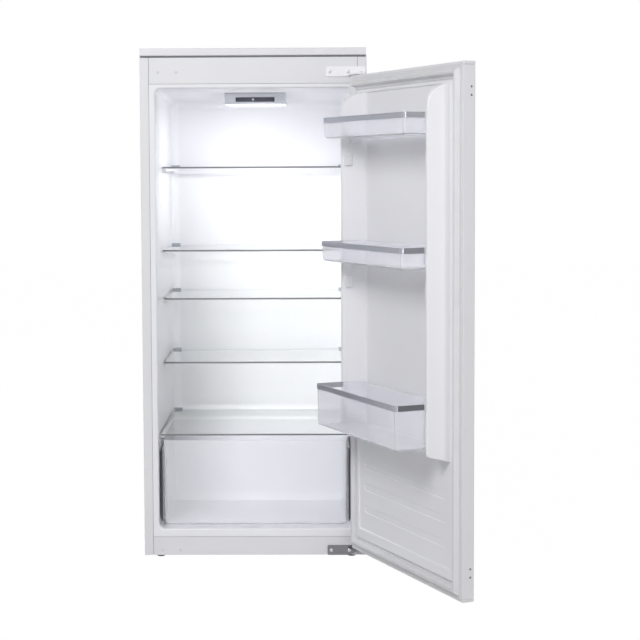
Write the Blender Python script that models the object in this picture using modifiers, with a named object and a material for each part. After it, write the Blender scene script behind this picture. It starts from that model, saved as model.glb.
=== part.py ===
"""A built-in column refrigerator for a 122 cm niche, standing with its door open.

X runs to the right, Y into the depth and Z up. The origin is the centre of the cabinet's underside.
"""
import bpy
import bmesh
from math import cos, pi, radians, sin, tan
from mathutils import Matrix, Vector

# Cabinet
CABINET_WIDTH = 0.540
CABINET_HEIGHT = 1.203
CABINET_DEPTH = 0.510
SHEET = 0.001
FLANGE_WIDTH = 0.021
SIDE_WALL = 0.036
SIDE_DRAFT = 0.001
CEILING_DROP = 0.0765
CEILING_DRAFT = 0.0145
FLOOR_RISE = 0.0645
REAR_WALL = 0.070
CAVITY_RADIUS = 0.022
STEP_LEDGE = 0.095
STEP_RISE = 0.2185
LINER_WALL = 0.0015
RAIL_OVERLAP = 0.0105
BOTTOM_RAIL_HEIGHT = 0.0448
RECESS_WALL = 0.045
RAIL_FOLD = 0.050
TRIM_HEIGHT = 0.018
TRIM_PROUD = 0.005
TRIM_LAP = 0.030
TRIM_WALL = 0.0015
TRIM_INSET = 0.001

# Clearances
FIT_GAP = 0.0003
SEAM = 0.0008
SLIDE_GAP = 0.003
OVERRUN = 0.010
MERGE = 0.00001

# Door, hung at the right
DOOR_TOP_DROP = 0.0506
DOOR_BOTTOM_RISE = 0.0245
DOOR_SIDE_GAP = 0.00075
DOOR_THICKNESS = 0.0282
DOOR_LIP = 0.009
DOOR_CORNER = 0.0025
CAP_HEIGHT = 0.007
DOOR_LINER_WALL = 0.002
PLATEAU_MARGIN = 0.036
PLATEAU_PROUD = 0.004
PLATEAU_BEVEL = 0.003
PANEL_MARGIN = 0.0235
PANEL_RECESS = 0.003
PIVOT_FROM_EDGE = 0.0124
PIVOT_BEHIND_FACE = 0.0217
OPENING_DEGREES = 113.9

# Gasket, measured inwards from the door's edge
GASKET_OUTER = 0.005
GASKET_INNER = 0.034
GASKET_LIP = 0.002
BULB_OUTER = 0.014
BULB_INNER = 0.028
BULB_SLOPE = 0.001
BULB_PROUD = 0.0117

# Ridges that carry the door's bins
RIDGE_MARGIN = 0.0485
RIDGE_BASE_WIDTH = 0.0375
RIDGE_CREST_MARGIN = 0.0555
RIDGE_CREST_WIDTH = 0.0095
RIDGE_PROUD = 0.054
RIDGE_EDGE = 0.004
RIDGE_BOTTOM_SHARE = 0.2575
RIDGE_FOOT_SLOPE = 0.012
RIDGE_TOP_DROP = 0.0435
RIDGE_ROUND = 0.046

# Grooves pressed into the door's lower panel
GROOVE_LEVEL_SHARES = (0.097, 0.144, 0.189)
GROOVE_HEIGHT = 0.017
GROOVE_MARGIN = 0.076
GROOVE_DEPTH = 0.0015
GROOVE_ROUND = 0.0005

# Holes in the free edge for the furniture panel's brackets
EDGE_HOLE_RADIUS = 0.0025
EDGE_HOLE_END = 0.0522
EDGE_HOLE_PITCH = 0.0175

# Door bins: level of the underside as a share of the door's height, then height and reach
BIN_LEVEL_SHARES = (0.868, 0.6185, 0.2805)
BIN_HEIGHTS = (0.0465, 0.0455, 0.0970)
BIN_REACHES = (0.1025, 0.1085, 0.1220)
BIN_NAMES = ("top", "middle", "lower")
BIN_END_MARGIN = 0.0695
BIN_BACK_GAP = 0.006
BIN_WALL = 0.0022
BIN_CORNER = 0.012
BIN_FLARE_SHARE = 1.012
BIN_TRIM_HEIGHT = 0.012
BIN_TRIM_WALL = 0.0012
LUG_WIDTH = 0.008
LUG_HEIGHT = 0.010
LUG_DEPTH = 0.022
LUG_FROM_FACE = 0.016
SPARE_LUG_DROP = 0.048

# Shelves: level of the glass as a share of the cabinet's height
SHELF_LEVEL_SHARES = (0.7805, 0.6093, 0.5096, 0.3770)
SHELF_FRONT = 0.135
SHELF_BACK_GAP = 0.035
COVER_RISE = 0.2265
COVER_FRONT = 0.020
COVER_BACK_GAP = 0.018
GLASS = 0.004
GLASS_CORNER = 0.010
LEDGE_WIDTH = 0.010
LEDGE_HEIGHT = 0.007
LEDGE_LEAD = 0.015
STOP_DEPTH = 0.008
STOP_HEIGHT = 0.009
STOP_BLOCK = 0.022
STOP_BAR = 0.003

# Crisper drawer and its guides
DRAWER_FRONT = 0.018
DRAWER_BACK_GAP = 0.024
DRAWER_SIDE_GAP = 0.0095
DRAWER_HEIGHT = 0.210
DRAWER_WALL = 0.003
DRAWER_CORNER = 0.012
DRAWER_KEEL = 0.014
DRAWER_TAPER_SHARE = 1.004
GLIDE_HEIGHT = 0.003
GLIDE_WIDTH = 0.008
GUIDE_WIDTH = 0.0052
GUIDE_GAP = 0.0025
GUIDE_FRONT = 0.022
GUIDE_BOTTOM_RISE = 0.0095
GUIDE_HEIGHT = 0.1875
GUIDE_POINT = 0.0125
GUIDE_RAIL = 0.010

# Control and lamp housing on the ceiling
HOUSING_WIDTH = 0.151
HOUSING_FRONT = 0.140
HOUSING_DEPTH = 0.150
HOUSING_HEIGHT = 0.0275
HOUSING_CHAMFER = 0.005
WINDOW_WIDTH = 0.096
WINDOW_HEIGHT = 0.011
WINDOW_THICKNESS = 0.0024
WINDOW_RISE = 0.006
BUTTON_RADIUS = 0.0025
BUTTON_LENGTH = 0.005
BUTTON_PROUD = 0.001
BUTTON_TRAVEL = 0.001
BUTTON_OFFSET = 0.005
LENS_WIDTH = 0.130
LENS_MARGIN = 0.012
LENS_THICKNESS = 0.005
LENS_PROUD = 0.001

# Hinges
BRACKET_WIDTH = 0.094
BRACKET_HEIGHT = 0.0237
BRACKET_PLATE = 0.003
BRACKET_ARM = 0.0036
BRACKET_EDGE = 0.002
ARM_WIDTH = 0.045
ARM_NOSE = 0.009
COLLAR_HEIGHT = 0.0032
COLLAR_RADIUS = 0.006
BUSH_RADIUS = 0.0046
BUSH_DEPTH = 0.012
PIN_RADIUS = 0.0025
PIN_HEAD_RADIUS = 0.0045
PIN_HEAD_HEIGHT = 0.0018
SCREW_RADIUS = 0.0022
SCREW_HEAD_RADIUS = 0.0042
SCREW_HEAD_HEIGHT = 0.0022
SCREW_LENGTH = 0.012
SCREW_FROM_EDGE = 0.009
SCREW_PITCH = 0.0435
SCREW_RISE = 0.012

# Cooling circuit
EVAPORATOR_WIDTH = 0.360
EVAPORATOR_HEIGHT = 0.500
EVAPORATOR_THICKNESS = 0.002
EVAPORATOR_LEVEL_SHARE = 0.58
PLATE_THICKNESS = 0.002
PLATE_FRONT_GAP = 0.008
COMPRESSOR_RADIUS = 0.072
COMPRESSOR_HEIGHT = 0.165
COMPRESSOR_OFFSET = 0.100
COMPRESSOR_SEAM = 0.003
TERMINAL_DEPTH = 0.038
TERMINAL_WIDTH = 0.050
TERMINAL_HEIGHT = 0.060
INLET_RADIUS = 0.004
INLET_DEPTH = 0.020
TRAY_LENGTH = 0.160
TRAY_WIDTH = 0.110
TRAY_HEIGHT = 0.022
TRAY_WALL = 0.0016
COIL_RADIUS = 0.0025
COIL_STANDOFF = 0.018
COIL_MARGIN = 0.035
COIL_LANE = 0.030
COIL_PITCH = 0.070
COIL_RUNS = 11
COIL_TOP_DROP = 0.085
COIL_BEND = 0.026
POST_WIDTH = 0.010
DRYER_RADIUS = 0.009
DRYER_LENGTH = 0.100
DRYER_NECK = 0.012
DRYER_RISE = 0.060

# Feet
FOOT_RADIUS = 0.0111
FOOT_HEIGHT = 0.008
FOOT_INSET = 0.037
FOOT_SETBACK = 0.030
STEM_RADIUS = 0.004
STEM_LENGTH = 0.018

# Places worked out from the sizes above
HALF_WIDTH = CABINET_WIDTH / 2
FRONT = -CABINET_DEPTH / 2
BACK = CABINET_DEPTH / 2
CAVITY_HALF = HALF_WIDTH - SIDE_WALL
CEILING_FRONT = CABINET_HEIGHT - CEILING_DROP
CAVITY_DEPTH = CABINET_DEPTH - REAR_WALL
CAVITY_BACK = FRONT + CAVITY_DEPTH
STEP_FACE = CAVITY_BACK - STEP_LEDGE
STEP_TOP = FLOOR_RISE + STEP_RISE
RECESS_FRONT = STEP_FACE + RECESS_WALL
RECESS_TOP = STEP_TOP - RECESS_WALL
TOP_RAIL_BOTTOM = CEILING_FRONT + RAIL_OVERLAP
INSIDE_HALF = HALF_WIDTH - SHEET - FIT_GAP
RAIL_HALF = HALF_WIDTH - FLANGE_WIDTH - SEAM
FOAM_FRONT = FRONT + LINER_WALL + FIT_GAP
COVER_LEVEL = FLOOR_RISE + COVER_RISE
GLASS_HALF = CAVITY_HALF - SIDE_DRAFT - SLIDE_GAP / 2
SHELF_DEPTH = CAVITY_DEPTH - SHELF_FRONT - SHELF_BACK_GAP
DRAWER_HALF_WIDTH = CAVITY_HALF - DRAWER_SIDE_GAP

DOOR_WIDTH = CABINET_WIDTH - 2 * DOOR_SIDE_GAP
DOOR_TOP = CABINET_HEIGHT - DOOR_TOP_DROP
DOOR_HEIGHT = DOOR_TOP - DOOR_BOTTOM_RISE
DOOR_FACE = FRONT - BULB_PROUD - FIT_GAP
PIVOT_X = HALF_WIDTH - DOOR_SIDE_GAP - PIVOT_FROM_EDGE
PIVOT_Y = DOOR_FACE - PIVOT_BEHIND_FACE
PAN_BOTTOM = DOOR_BOTTOM_RISE + CAP_HEIGHT + FIT_GAP
PAN_TOP = DOOR_TOP - CAP_HEIGHT - FIT_GAP

PLATE_FRONT = RECESS_FRONT + PLATE_FRONT_GAP
COMPRESSOR_Y = PLATE_FRONT + COMPRESSOR_RADIUS
COIL_Y = BACK + COIL_STANDOFF
COMPRESSOR_FOOT = PLATE_THICKNESS + FIT_GAP


def clear_scene():
    """Remove what the scene holds at the start."""
    for thing in list(bpy.data.objects):
        bpy.data.objects.remove(thing)


clear_scene()
PARTS = bpy.data.collections.new("column_refrigerator")
CUTTERS = bpy.data.collections.new("cutters")
for group in (PARTS, CUTTERS):
    bpy.context.scene.collection.children.link(group)


def finish(name, colour, roughness, metallic=0.0, alpha=1.0):
    """A Principled material."""
    made = bpy.data.materials.new(name)
    made.use_nodes = True
    shader = made.node_tree.nodes["Principled BSDF"]
    shader.inputs["Base Color"].default_value = (*colour, 1.0)
    shader.inputs["Roughness"].default_value = roughness
    shader.inputs["Metallic"].default_value = metallic
    shader.inputs["Alpha"].default_value = alpha
    made.diffuse_color = (*colour, alpha)
    return made


WHITE_STEEL = finish("white_painted_steel", (0.80, 0.80, 0.80), 0.35)
LINER_PLASTIC = finish("liner_polystyrene", (0.84, 0.85, 0.86), 0.30)
CAP_PLASTIC = finish("white_abs", (0.80, 0.81, 0.82), 0.40)
FOAM = finish("polyurethane_foam", (0.80, 0.72, 0.45), 0.90)
GASKET_PVC = finish("gasket_pvc", (0.78, 0.79, 0.80), 0.60)
CLEAR_PLASTIC = finish("clear_polystyrene", (0.80, 0.84, 0.88), 0.10, alpha=0.45)
GLASS_PLATE = finish("toughened_glass", (0.55, 0.68, 0.64), 0.05, alpha=0.35)
SILVER_TRIM = finish("silver_trim", (0.55, 0.57, 0.60), 0.30, metallic=0.8)
STOP_GREY = finish("grey_stop_plastic", (0.45, 0.47, 0.49), 0.45)
GUIDE_GREY = finish("dark_guide_plastic", (0.06, 0.06, 0.07), 0.50)
SMOKED = finish("smoked_window", (0.10, 0.10, 0.13), 0.15)
LENS = finish("lamp_lens", (0.95, 0.97, 1.00), 0.30)
ZINC = finish("zinc_plated_steel", (0.42, 0.42, 0.42), 0.35, metallic=1.0)
BLACK_STEEL = finish("black_enamelled_steel", (0.03, 0.03, 0.03), 0.45)
ALUMINIUM = finish("aluminium", (0.75, 0.76, 0.78), 0.35, metallic=1.0)
COPPER = finish("copper", (0.72, 0.42, 0.28), 0.35, metallic=1.0)
GALVANISED = finish("galvanised_sheet", (0.60, 0.62, 0.64), 0.45, metallic=0.9)
BLACK_PLASTIC = finish("black_plastic", (0.02, 0.02, 0.02), 0.55)


def place(name, data, look, parent=None, location=(0, 0, 0), cutter=False):
    """Wrap mesh or curve data in an object. A cutter only shapes other pieces."""
    thing = bpy.data.objects.new(name, data)
    (CUTTERS if cutter else PARTS).objects.link(thing)
    thing.location = location
    thing.parent = parent
    if cutter:
        thing.hide_render = True
        thing.display_type = "WIRE"
    else:
        data.materials.append(look)
    return thing


def mesh_of(name, bm):
    """Close a bmesh into a mesh with its faces pointing out."""
    bmesh.ops.recalc_face_normals(bm, faces=bm.faces)
    mesh = bpy.data.meshes.new(name)
    bm.to_mesh(mesh)
    bm.free()
    return mesh


def add_box(bm, low, high):
    """Add a box between two corners to a bmesh."""
    made = bmesh.ops.create_cube(bm, size=1.0)["verts"]
    size = Vector(high) - Vector(low)
    centre = (Vector(high) + Vector(low)) / 2
    bmesh.ops.scale(bm, vec=size, verts=made)
    bmesh.ops.translate(bm, vec=centre, verts=made)
    return made


def boxes(name, corners, look=None, parent=None, cutter=False):
    """One object of one or more separate boxes, each given by its two corners."""
    bm = bmesh.new()
    for low, high in corners:
        add_box(bm, low, high)
    return place(name, mesh_of(name, bm), look, parent, cutter=cutter)


def spot(axis, across, up, along):
    """A place from its two flat coordinates and how far along the axis it lies."""
    if axis == "X":
        return Vector((along, across, up))
    if axis == "Y":
        return Vector((across, along, up))
    return Vector((across, up, along))


def prism(name, outline, low, high, axis, look=None, parent=None, cutter=False, flare=None):
    """Extrude a flat outline along an axis. flare scales the far end: (centre, factors)."""
    bm = bmesh.new()
    corners = [bm.verts.new(spot(axis, *point, low)) for point in outline]
    face = bm.faces.new(corners)
    grown = bmesh.ops.extrude_face_region(bm, geom=[face])
    far = [item for item in grown["geom"] if isinstance(item, bmesh.types.BMVert)]
    bmesh.ops.translate(bm, vec=spot(axis, 0, 0, high - low), verts=far)
    if flare:
        centre, factors = flare
        bmesh.ops.scale(bm, vec=factors, verts=far, space=Matrix.Translation(-Vector(centre)))
    return place(name, mesh_of(name, bm), look, parent, cutter=cutter)


def rounded(corners, steps=4):
    """Turn (x, y, radius) corners into an outline whose rounded corners are arcs."""
    points = []
    count = len(corners)
    for index, (x, y, radius) in enumerate(corners):
        here = Vector((x, y))
        if not radius:
            points.append(tuple(here))
            continue
        before = (Vector(corners[index - 1][:2]) - here).normalized()
        after = (Vector(corners[(index + 1) % count][:2]) - here).normalized()
        half = before.angle(after) / 2
        centre = here + (before + after).normalized() * radius / sin(half)
        start = here + before * radius / tan(half) - centre
        end = here + after * radius / tan(half) - centre
        turn = start.angle_signed(end)
        for step in range(steps + 1):
            angle = -turn * step / steps
            arm = Matrix.Rotation(angle, 2) @ start
            points.append(tuple(centre + arm))
    return points


def turned(name, profile, look=None, parent=None, location=(0, 0, 0), sides=24, ring=False, cutter=False):
    """A turned piece: (radius, height) points down its outer side, swept about Z."""
    bm = bmesh.new()
    spots = [bm.verts.new((radius, 0, height)) for radius, height in profile]
    pairs = list(zip(spots, spots[1:]))
    if ring:
        pairs.append((spots[-1], spots[0]))
    for one, two in pairs:
        bm.edges.new((one, two))
    mesh = bpy.data.meshes.new(name)
    bm.to_mesh(mesh)
    bm.free()
    thing = place(name, mesh, look, parent, location, cutter)
    sweep = thing.modifiers.new("sweep", "SCREW")
    sweep.axis = "Z"
    sweep.angle = 2 * pi
    sweep.steps = sides
    sweep.render_steps = sides
    sweep.use_merge_vertices = True
    sweep.merge_threshold = MERGE
    sweep.use_smooth_shade = True
    return thing


def cut(target, cutter, operation="DIFFERENCE"):
    """Cut, join or intersect a piece with another shape."""
    step = target.modifiers.new(cutter.name, "BOOLEAN")
    step.object = cutter
    step.operation = operation
    step.solver = "EXACT"
    return target


def soften(target, width, segments=2, degrees=35):
    """Round a piece's sharp edges."""
    edge = target.modifiers.new("edges", "BEVEL")
    edge.width = width
    edge.segments = segments
    edge.limit_method = "ANGLE"
    edge.angle_limit = radians(degrees)
    edge.use_clamp_overlap = True
    edge.harden_normals = False
    return target


def round_hole(name, radius, length, centre, turn, parent=None, sides=24):
    """A round cutter with its middle at centre. turn is its rotation."""
    profile = [(0, length / 2), (radius, length / 2), (radius, -length / 2), (0, -length / 2)]
    hole = turned(name, profile, parent=parent, location=centre, sides=sides, cutter=True)
    hole.rotation_euler = turn
    return hole


ALONG_X = (0, pi / 2, 0)
ALONG_Y = (pi / 2, 0, 0)
ALONG_Z = (0, 0, 0)


def ceiling_at(y):
    """Height of the cavity's ceiling, which falls towards the back."""
    return CEILING_FRONT - CEILING_DRAFT * (y - FRONT) / CAVITY_DEPTH


def half_width_at(y):
    """Half the cavity's width, which narrows a little towards the back."""
    return CAVITY_HALF - SIDE_DRAFT * (y - FRONT) / CAVITY_DEPTH


def cavity_part(name, profile, grow, is_lower):
    """One block of the cavity, tapered to the back and rounded, except at its front and top."""
    block = prism(name, profile, -CAVITY_HALF, CAVITY_HALF, "X", cutter=True)
    bm = bmesh.new()
    bm.from_mesh(block.data)
    for vert in bm.verts:
        side = 1 if vert.co.x > 0 else -1
        vert.co.x = side * (half_width_at(vert.co.y) + grow)
    behind = min(v.co.y for v in bm.verts) + OVERRUN / 2
    edges = [e for e in bm.edges if max(v.co.y for v in e.verts) > behind]
    if is_lower:
        edges = [e for e in edges if min(v.co.z for v in e.verts) < STEP_TOP - CAVITY_RADIUS]
    else:
        edges = [e for e in edges if max(v.co.z for v in e.verts) > STEP_TOP + CAVITY_RADIUS]
    bmesh.ops.bevel(
        bm,
        geom=edges,
        offset=CAVITY_RADIUS,
        segments=3,
        profile=0.5,
        affect="EDGES",
        clamp_overlap=True,
    )
    bmesh.ops.recalc_face_normals(bm, faces=bm.faces)
    bm.to_mesh(block.data)
    bm.free()
    return block


def cavity_block(name, grow, front):
    """The cavity's shape, grown all round, with a step over the compressor."""
    upper = (
        (front, STEP_TOP - grow),
        (CAVITY_BACK + grow, STEP_TOP - grow),
        (CAVITY_BACK + grow, ceiling_at(CAVITY_BACK) + grow),
        (front, ceiling_at(front) + grow),
    )
    lower = (
        (front, FLOOR_RISE - grow),
        (STEP_FACE + grow, FLOOR_RISE - grow),
        (STEP_FACE + grow, STEP_TOP - grow),
        (front, STEP_TOP - grow),
    )
    block = cavity_part(name, upper, grow, False)
    return cut(block, cavity_part(name + "_lower", lower, grow, True), "UNION")


def shelf_levels():
    """Height of the middle of each glass, the crisper cover's last."""
    levels = [share * CABINET_HEIGHT for share in SHELF_LEVEL_SHARES]
    return levels + [COVER_LEVEL]


def casing():
    """Side panels with their front flanges, top, back and base panels."""
    for side, name in ((-1, "side_panel_left"), (1, "side_panel_right")):
        outline = (
            (side * HALF_WIDTH, FRONT),
            (side * (HALF_WIDTH - FLANGE_WIDTH), FRONT),
            (side * (HALF_WIDTH - FLANGE_WIDTH), FRONT + SHEET),
            (side * (HALF_WIDTH - SHEET), FRONT + SHEET),
            (side * (HALF_WIDTH - SHEET), BACK),
            (side * HALF_WIDTH, BACK),
        )
        prism(name, outline, 0, CABINET_HEIGHT, "Z", WHITE_STEEL)
    sheet_front = FRONT + SHEET + FIT_GAP
    top_low = (-INSIDE_HALF, sheet_front, CABINET_HEIGHT - SHEET)
    boxes("top_panel", [(top_low, (INSIDE_HALF, BACK, CABINET_HEIGHT))], WHITE_STEEL)
    base_front = FRONT + RAIL_FOLD + FIT_GAP
    bent = (
        (base_front, 0),
        (RECESS_FRONT, 0),
        (RECESS_FRONT, RECESS_TOP - SHEET),
        (BACK, RECESS_TOP - SHEET),
        (BACK, RECESS_TOP),
        (RECESS_FRONT - SHEET, RECESS_TOP),
        (RECESS_FRONT - SHEET, SHEET),
        (base_front, SHEET),
    )
    prism("base_panel", bent, -INSIDE_HALF, INSIDE_HALF, "X", GALVANISED)
    back_panel()


def coil_levels():
    """Height of each straight run of the condenser, from the top down."""
    first = CABINET_HEIGHT - COIL_TOP_DROP
    return [first - COIL_PITCH * run for run in range(COIL_RUNS)]


def back_panel():
    """The sheet behind the foam, with the posts that carry the condenser."""
    top = CABINET_HEIGHT - SHEET - FIT_GAP
    low = (-INSIDE_HALF, BACK - SHEET, RECESS_TOP + FIT_GAP)
    panel = boxes("back_panel", [(low, (INSIDE_HALF, BACK, top))], GALVANISED)
    levels = coil_levels()
    reach = COIL_Y - COIL_RADIUS - FIT_GAP
    across = INSIDE_HALF * 2 / 3
    posts = []
    for x in (-across, across):
        for level in (levels[1], levels[-2]):
            low = (x - POST_WIDTH / 2, BACK - SHEET / 2, level - POST_WIDTH / 2)
            posts.append((low, (x + POST_WIDTH / 2, reach, level + POST_WIDTH / 2)))
    cut(panel, boxes("coil_posts", posts, cutter=True), "UNION")


def rails():
    """The sheets across the front above and below the liner, and the strip on top."""
    top_low = (-RAIL_HALF, FRONT, TOP_RAIL_BOTTOM + SEAM / 2)
    top = boxes("top_rail", [(top_low, (RAIL_HALF, FRONT + SHEET, CABINET_HEIGHT))], WHITE_STEEL)
    bottom_high = (RAIL_HALF, FRONT + SHEET, BOTTOM_RAIL_HEIGHT - SEAM / 2)
    bottom = boxes("bottom_rail", [((-RAIL_HALF, FRONT, 0), bottom_high)], WHITE_STEEL)
    neck = FRONT + SHEET / 2
    shoulder = FRONT + SHEET + FIT_GAP
    fold = (
        (-RAIL_HALF, neck),
        (RAIL_HALF, neck),
        (RAIL_HALF, shoulder),
        (INSIDE_HALF, shoulder),
        (INSIDE_HALF, FRONT + RAIL_FOLD),
        (-INSIDE_HALF, FRONT + RAIL_FOLD),
        (-INSIDE_HALF, shoulder),
        (-RAIL_HALF, shoulder),
    )
    cut(bottom, prism("rail_fold", fold, 0, SHEET, "Z", cutter=True), "UNION")
    for hole in foot_holes():
        cut(bottom, hole)
    for hole in SCREW_HOLES["top"]:
        cut(top, hole)
    for hole in SCREW_HOLES["bottom"]:
        cut(bottom, hole)
    low = CABINET_HEIGHT + FIT_GAP
    high = CABINET_HEIGHT + TRIM_HEIGHT
    nose = FRONT - TRIM_PROUD
    tail = FRONT + TRIM_LAP
    channel = (
        (nose, low),
        (tail, low),
        (tail, low + TRIM_WALL),
        (nose + TRIM_WALL, low + TRIM_WALL),
        (nose + TRIM_WALL, high - TRIM_WALL),
        (tail, high - TRIM_WALL),
        (tail, high),
        (nose, high),
    )
    trim_half = HALF_WIDTH - TRIM_INSET
    prism("top_trim_strip", channel, -trim_half, trim_half, "X", CAP_PLASTIC)


def liner_ledges():
    """Boxes on the side walls under each glass."""
    corners = []
    outer = CAVITY_HALF
    for level in shelf_levels():
        front = FRONT + (COVER_FRONT if level == COVER_LEVEL else SHELF_FRONT) + LEDGE_LEAD
        top = level - GLASS / 2 - FIT_GAP
        for side in (-1, 1):
            near = side * (GLASS_HALF - LEDGE_WIDTH)
            far = side * outer
            low = (min(near, far), front, top - LEDGE_HEIGHT)
            high = (max(near, far), CAVITY_BACK - CAVITY_RADIUS, top)
            corners.append((low, high))
    return boxes("ledges", corners, cutter=True)


def liner():
    """The moulded tub with its flat front frame and shelf ledges."""
    frame_low = (-RAIL_HALF, FRONT, BOTTOM_RAIL_HEIGHT + SEAM / 2)
    frame_high = (RAIL_HALF, FRONT + LINER_WALL, TOP_RAIL_BOTTOM - SEAM / 2)
    tub = boxes("inner_liner", [(frame_low, frame_high)], LINER_PLASTIC)
    outside = cavity_block("liner_outside", LINER_WALL, FRONT + LINER_WALL / 2)
    inside = cavity_block("cavity", 0, FRONT - OVERRUN)
    cut(tub, outside, "UNION")
    cut(tub, inside)
    cut(tub, liner_ledges(), "UNION")


def foam():
    """The foam between the casing and the liner, and the evaporator plate that it backs."""
    low = (-INSIDE_HALF, FOAM_FRONT, SHEET + FIT_GAP)
    high = (INSIDE_HALF, BACK - SHEET - FIT_GAP, CABINET_HEIGHT - SHEET - FIT_GAP)
    block = boxes("insulation_foam", [(low, high)], FOAM)
    bay_low = (-INSIDE_HALF - OVERRUN, RECESS_FRONT - SHEET - FIT_GAP, -OVERRUN)
    bay_high = (INSIDE_HALF + OVERRUN, BACK + OVERRUN, RECESS_TOP + FIT_GAP)
    level = EVAPORATOR_LEVEL_SHARE * CABINET_HEIGHT
    plate_y = CAVITY_BACK + LINER_WALL + FIT_GAP
    half = EVAPORATOR_WIDTH / 2
    rise = EVAPORATOR_HEIGHT / 2
    plate_low = Vector((-half, plate_y, level - rise))
    plate_high = Vector((half, plate_y + EVAPORATOR_THICKNESS, level + rise))
    boxes("evaporator_plate", [(plate_low, plate_high)], ALUMINIUM)
    margin = Vector((FIT_GAP, FIT_GAP, FIT_GAP))
    pocket = (plate_low - margin - Vector((0, LINER_WALL, 0)), plate_high + margin)
    cut(block, boxes("recess_space", [(bay_low, bay_high)], cutter=True))
    cut(block, cavity_block("liner_space", LINER_WALL + FIT_GAP, FRONT - OVERRUN))
    cut(block, boxes("evaporator_space", [pocket], cutter=True))
    for hole in SCREW_HOLES["top"] + SCREW_HOLES["bottom"]:
        cut(block, hole)
    for hole in foot_holes():
        cut(block, hole)


def foot_places():
    """Where the feet stand: front pair under the base panel, rear pair under the crossbar."""
    x = HALF_WIDTH - FOOT_INSET
    front = FRONT + FOOT_SETBACK
    rear = (PLATE_FRONT + BACK) / 2
    return {
        "foot_front_left": (-x, front),
        "foot_front_right": (x, front),
        "foot_rear_left": (-x, rear),
        "foot_rear_right": (x, rear),
    }


FOOT_HOLES = []


def foot_holes():
    """Clearance round the front feet's stems, made once."""
    if not FOOT_HOLES:
        spots = foot_places()
        for name in ("foot_front_left", "foot_front_right"):
            x, y = spots[name]
            centre = (x, y, 0)
            length = 2 * (STEM_LENGTH + FIT_GAP)
            radius = STEM_RADIUS + FIT_GAP
            FOOT_HOLES.append(round_hole(name + "_hole", radius, length, centre, ALONG_Z))
    return FOOT_HOLES


def feet():
    """Round feet with a stem. The front pair screws in and out of the base panel."""
    for name, (x, y) in foot_places().items():
        is_front = "front" in name
        stem_top = STEM_LENGTH if is_front else 0
        pad_top = -FIT_GAP
        pad_bottom = -FOOT_HEIGHT - FIT_GAP
        stem = [(0, stem_top), (STEM_RADIUS, stem_top), (STEM_RADIUS, pad_top)]
        pad = [
            (FOOT_RADIUS * 0.8, pad_top),
            (FOOT_RADIUS, pad_top - FOOT_HEIGHT / 4),
            (FOOT_RADIUS, pad_bottom + FOOT_HEIGHT / 8),
            (FOOT_RADIUS * 0.9, pad_bottom),
            (0, pad_bottom),
        ]
        profile = (stem if is_front else [(0, pad_top)]) + pad
        turned(name, profile, BLACK_PLASTIC, location=(x, y, 0))


def shelf(name, level, front, depth):
    """A sheet of glass with a stop strip along its rear edge."""
    back = front + depth
    outline = rounded(
        [
            (-GLASS_HALF, front, GLASS_CORNER),
            (GLASS_HALF, front, GLASS_CORNER),
            (GLASS_HALF, back, 0),
            (-GLASS_HALF, back, 0),
        ]
    )
    prism(name + "_glass", outline, level - GLASS / 2, level + GLASS / 2, "Z", GLASS_PLATE)
    low = level - GLASS / 2
    near = back + FIT_GAP
    far = near + STOP_DEPTH
    bar = ((-GLASS_HALF, near, low), (GLASS_HALF, far, low + STOP_BAR))
    strip = boxes(name + "_rear_stop", [bar], STOP_GREY)
    blocks = []
    for side in (-1, 1):
        x_values = sorted((side * GLASS_HALF, side * (GLASS_HALF - STOP_BLOCK)))
        blocks.append(((x_values[0], near, low), (x_values[1], far, low + STOP_HEIGHT)))
    cut(strip, boxes(name + "_stop_blocks", blocks, cutter=True), "UNION")


def shelves():
    """Four shelves and the wide, deep cover over the drawer."""
    for number, level in enumerate(shelf_levels()[:-1], start=1):
        shelf(f"shelf_{number}", level, FRONT + SHELF_FRONT, SHELF_DEPTH)
    cover_depth = CAVITY_DEPTH - COVER_FRONT - STOP_DEPTH - COVER_BACK_GAP
    shelf("crisper_cover", COVER_LEVEL, FRONT + COVER_FRONT, cover_depth)


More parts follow.
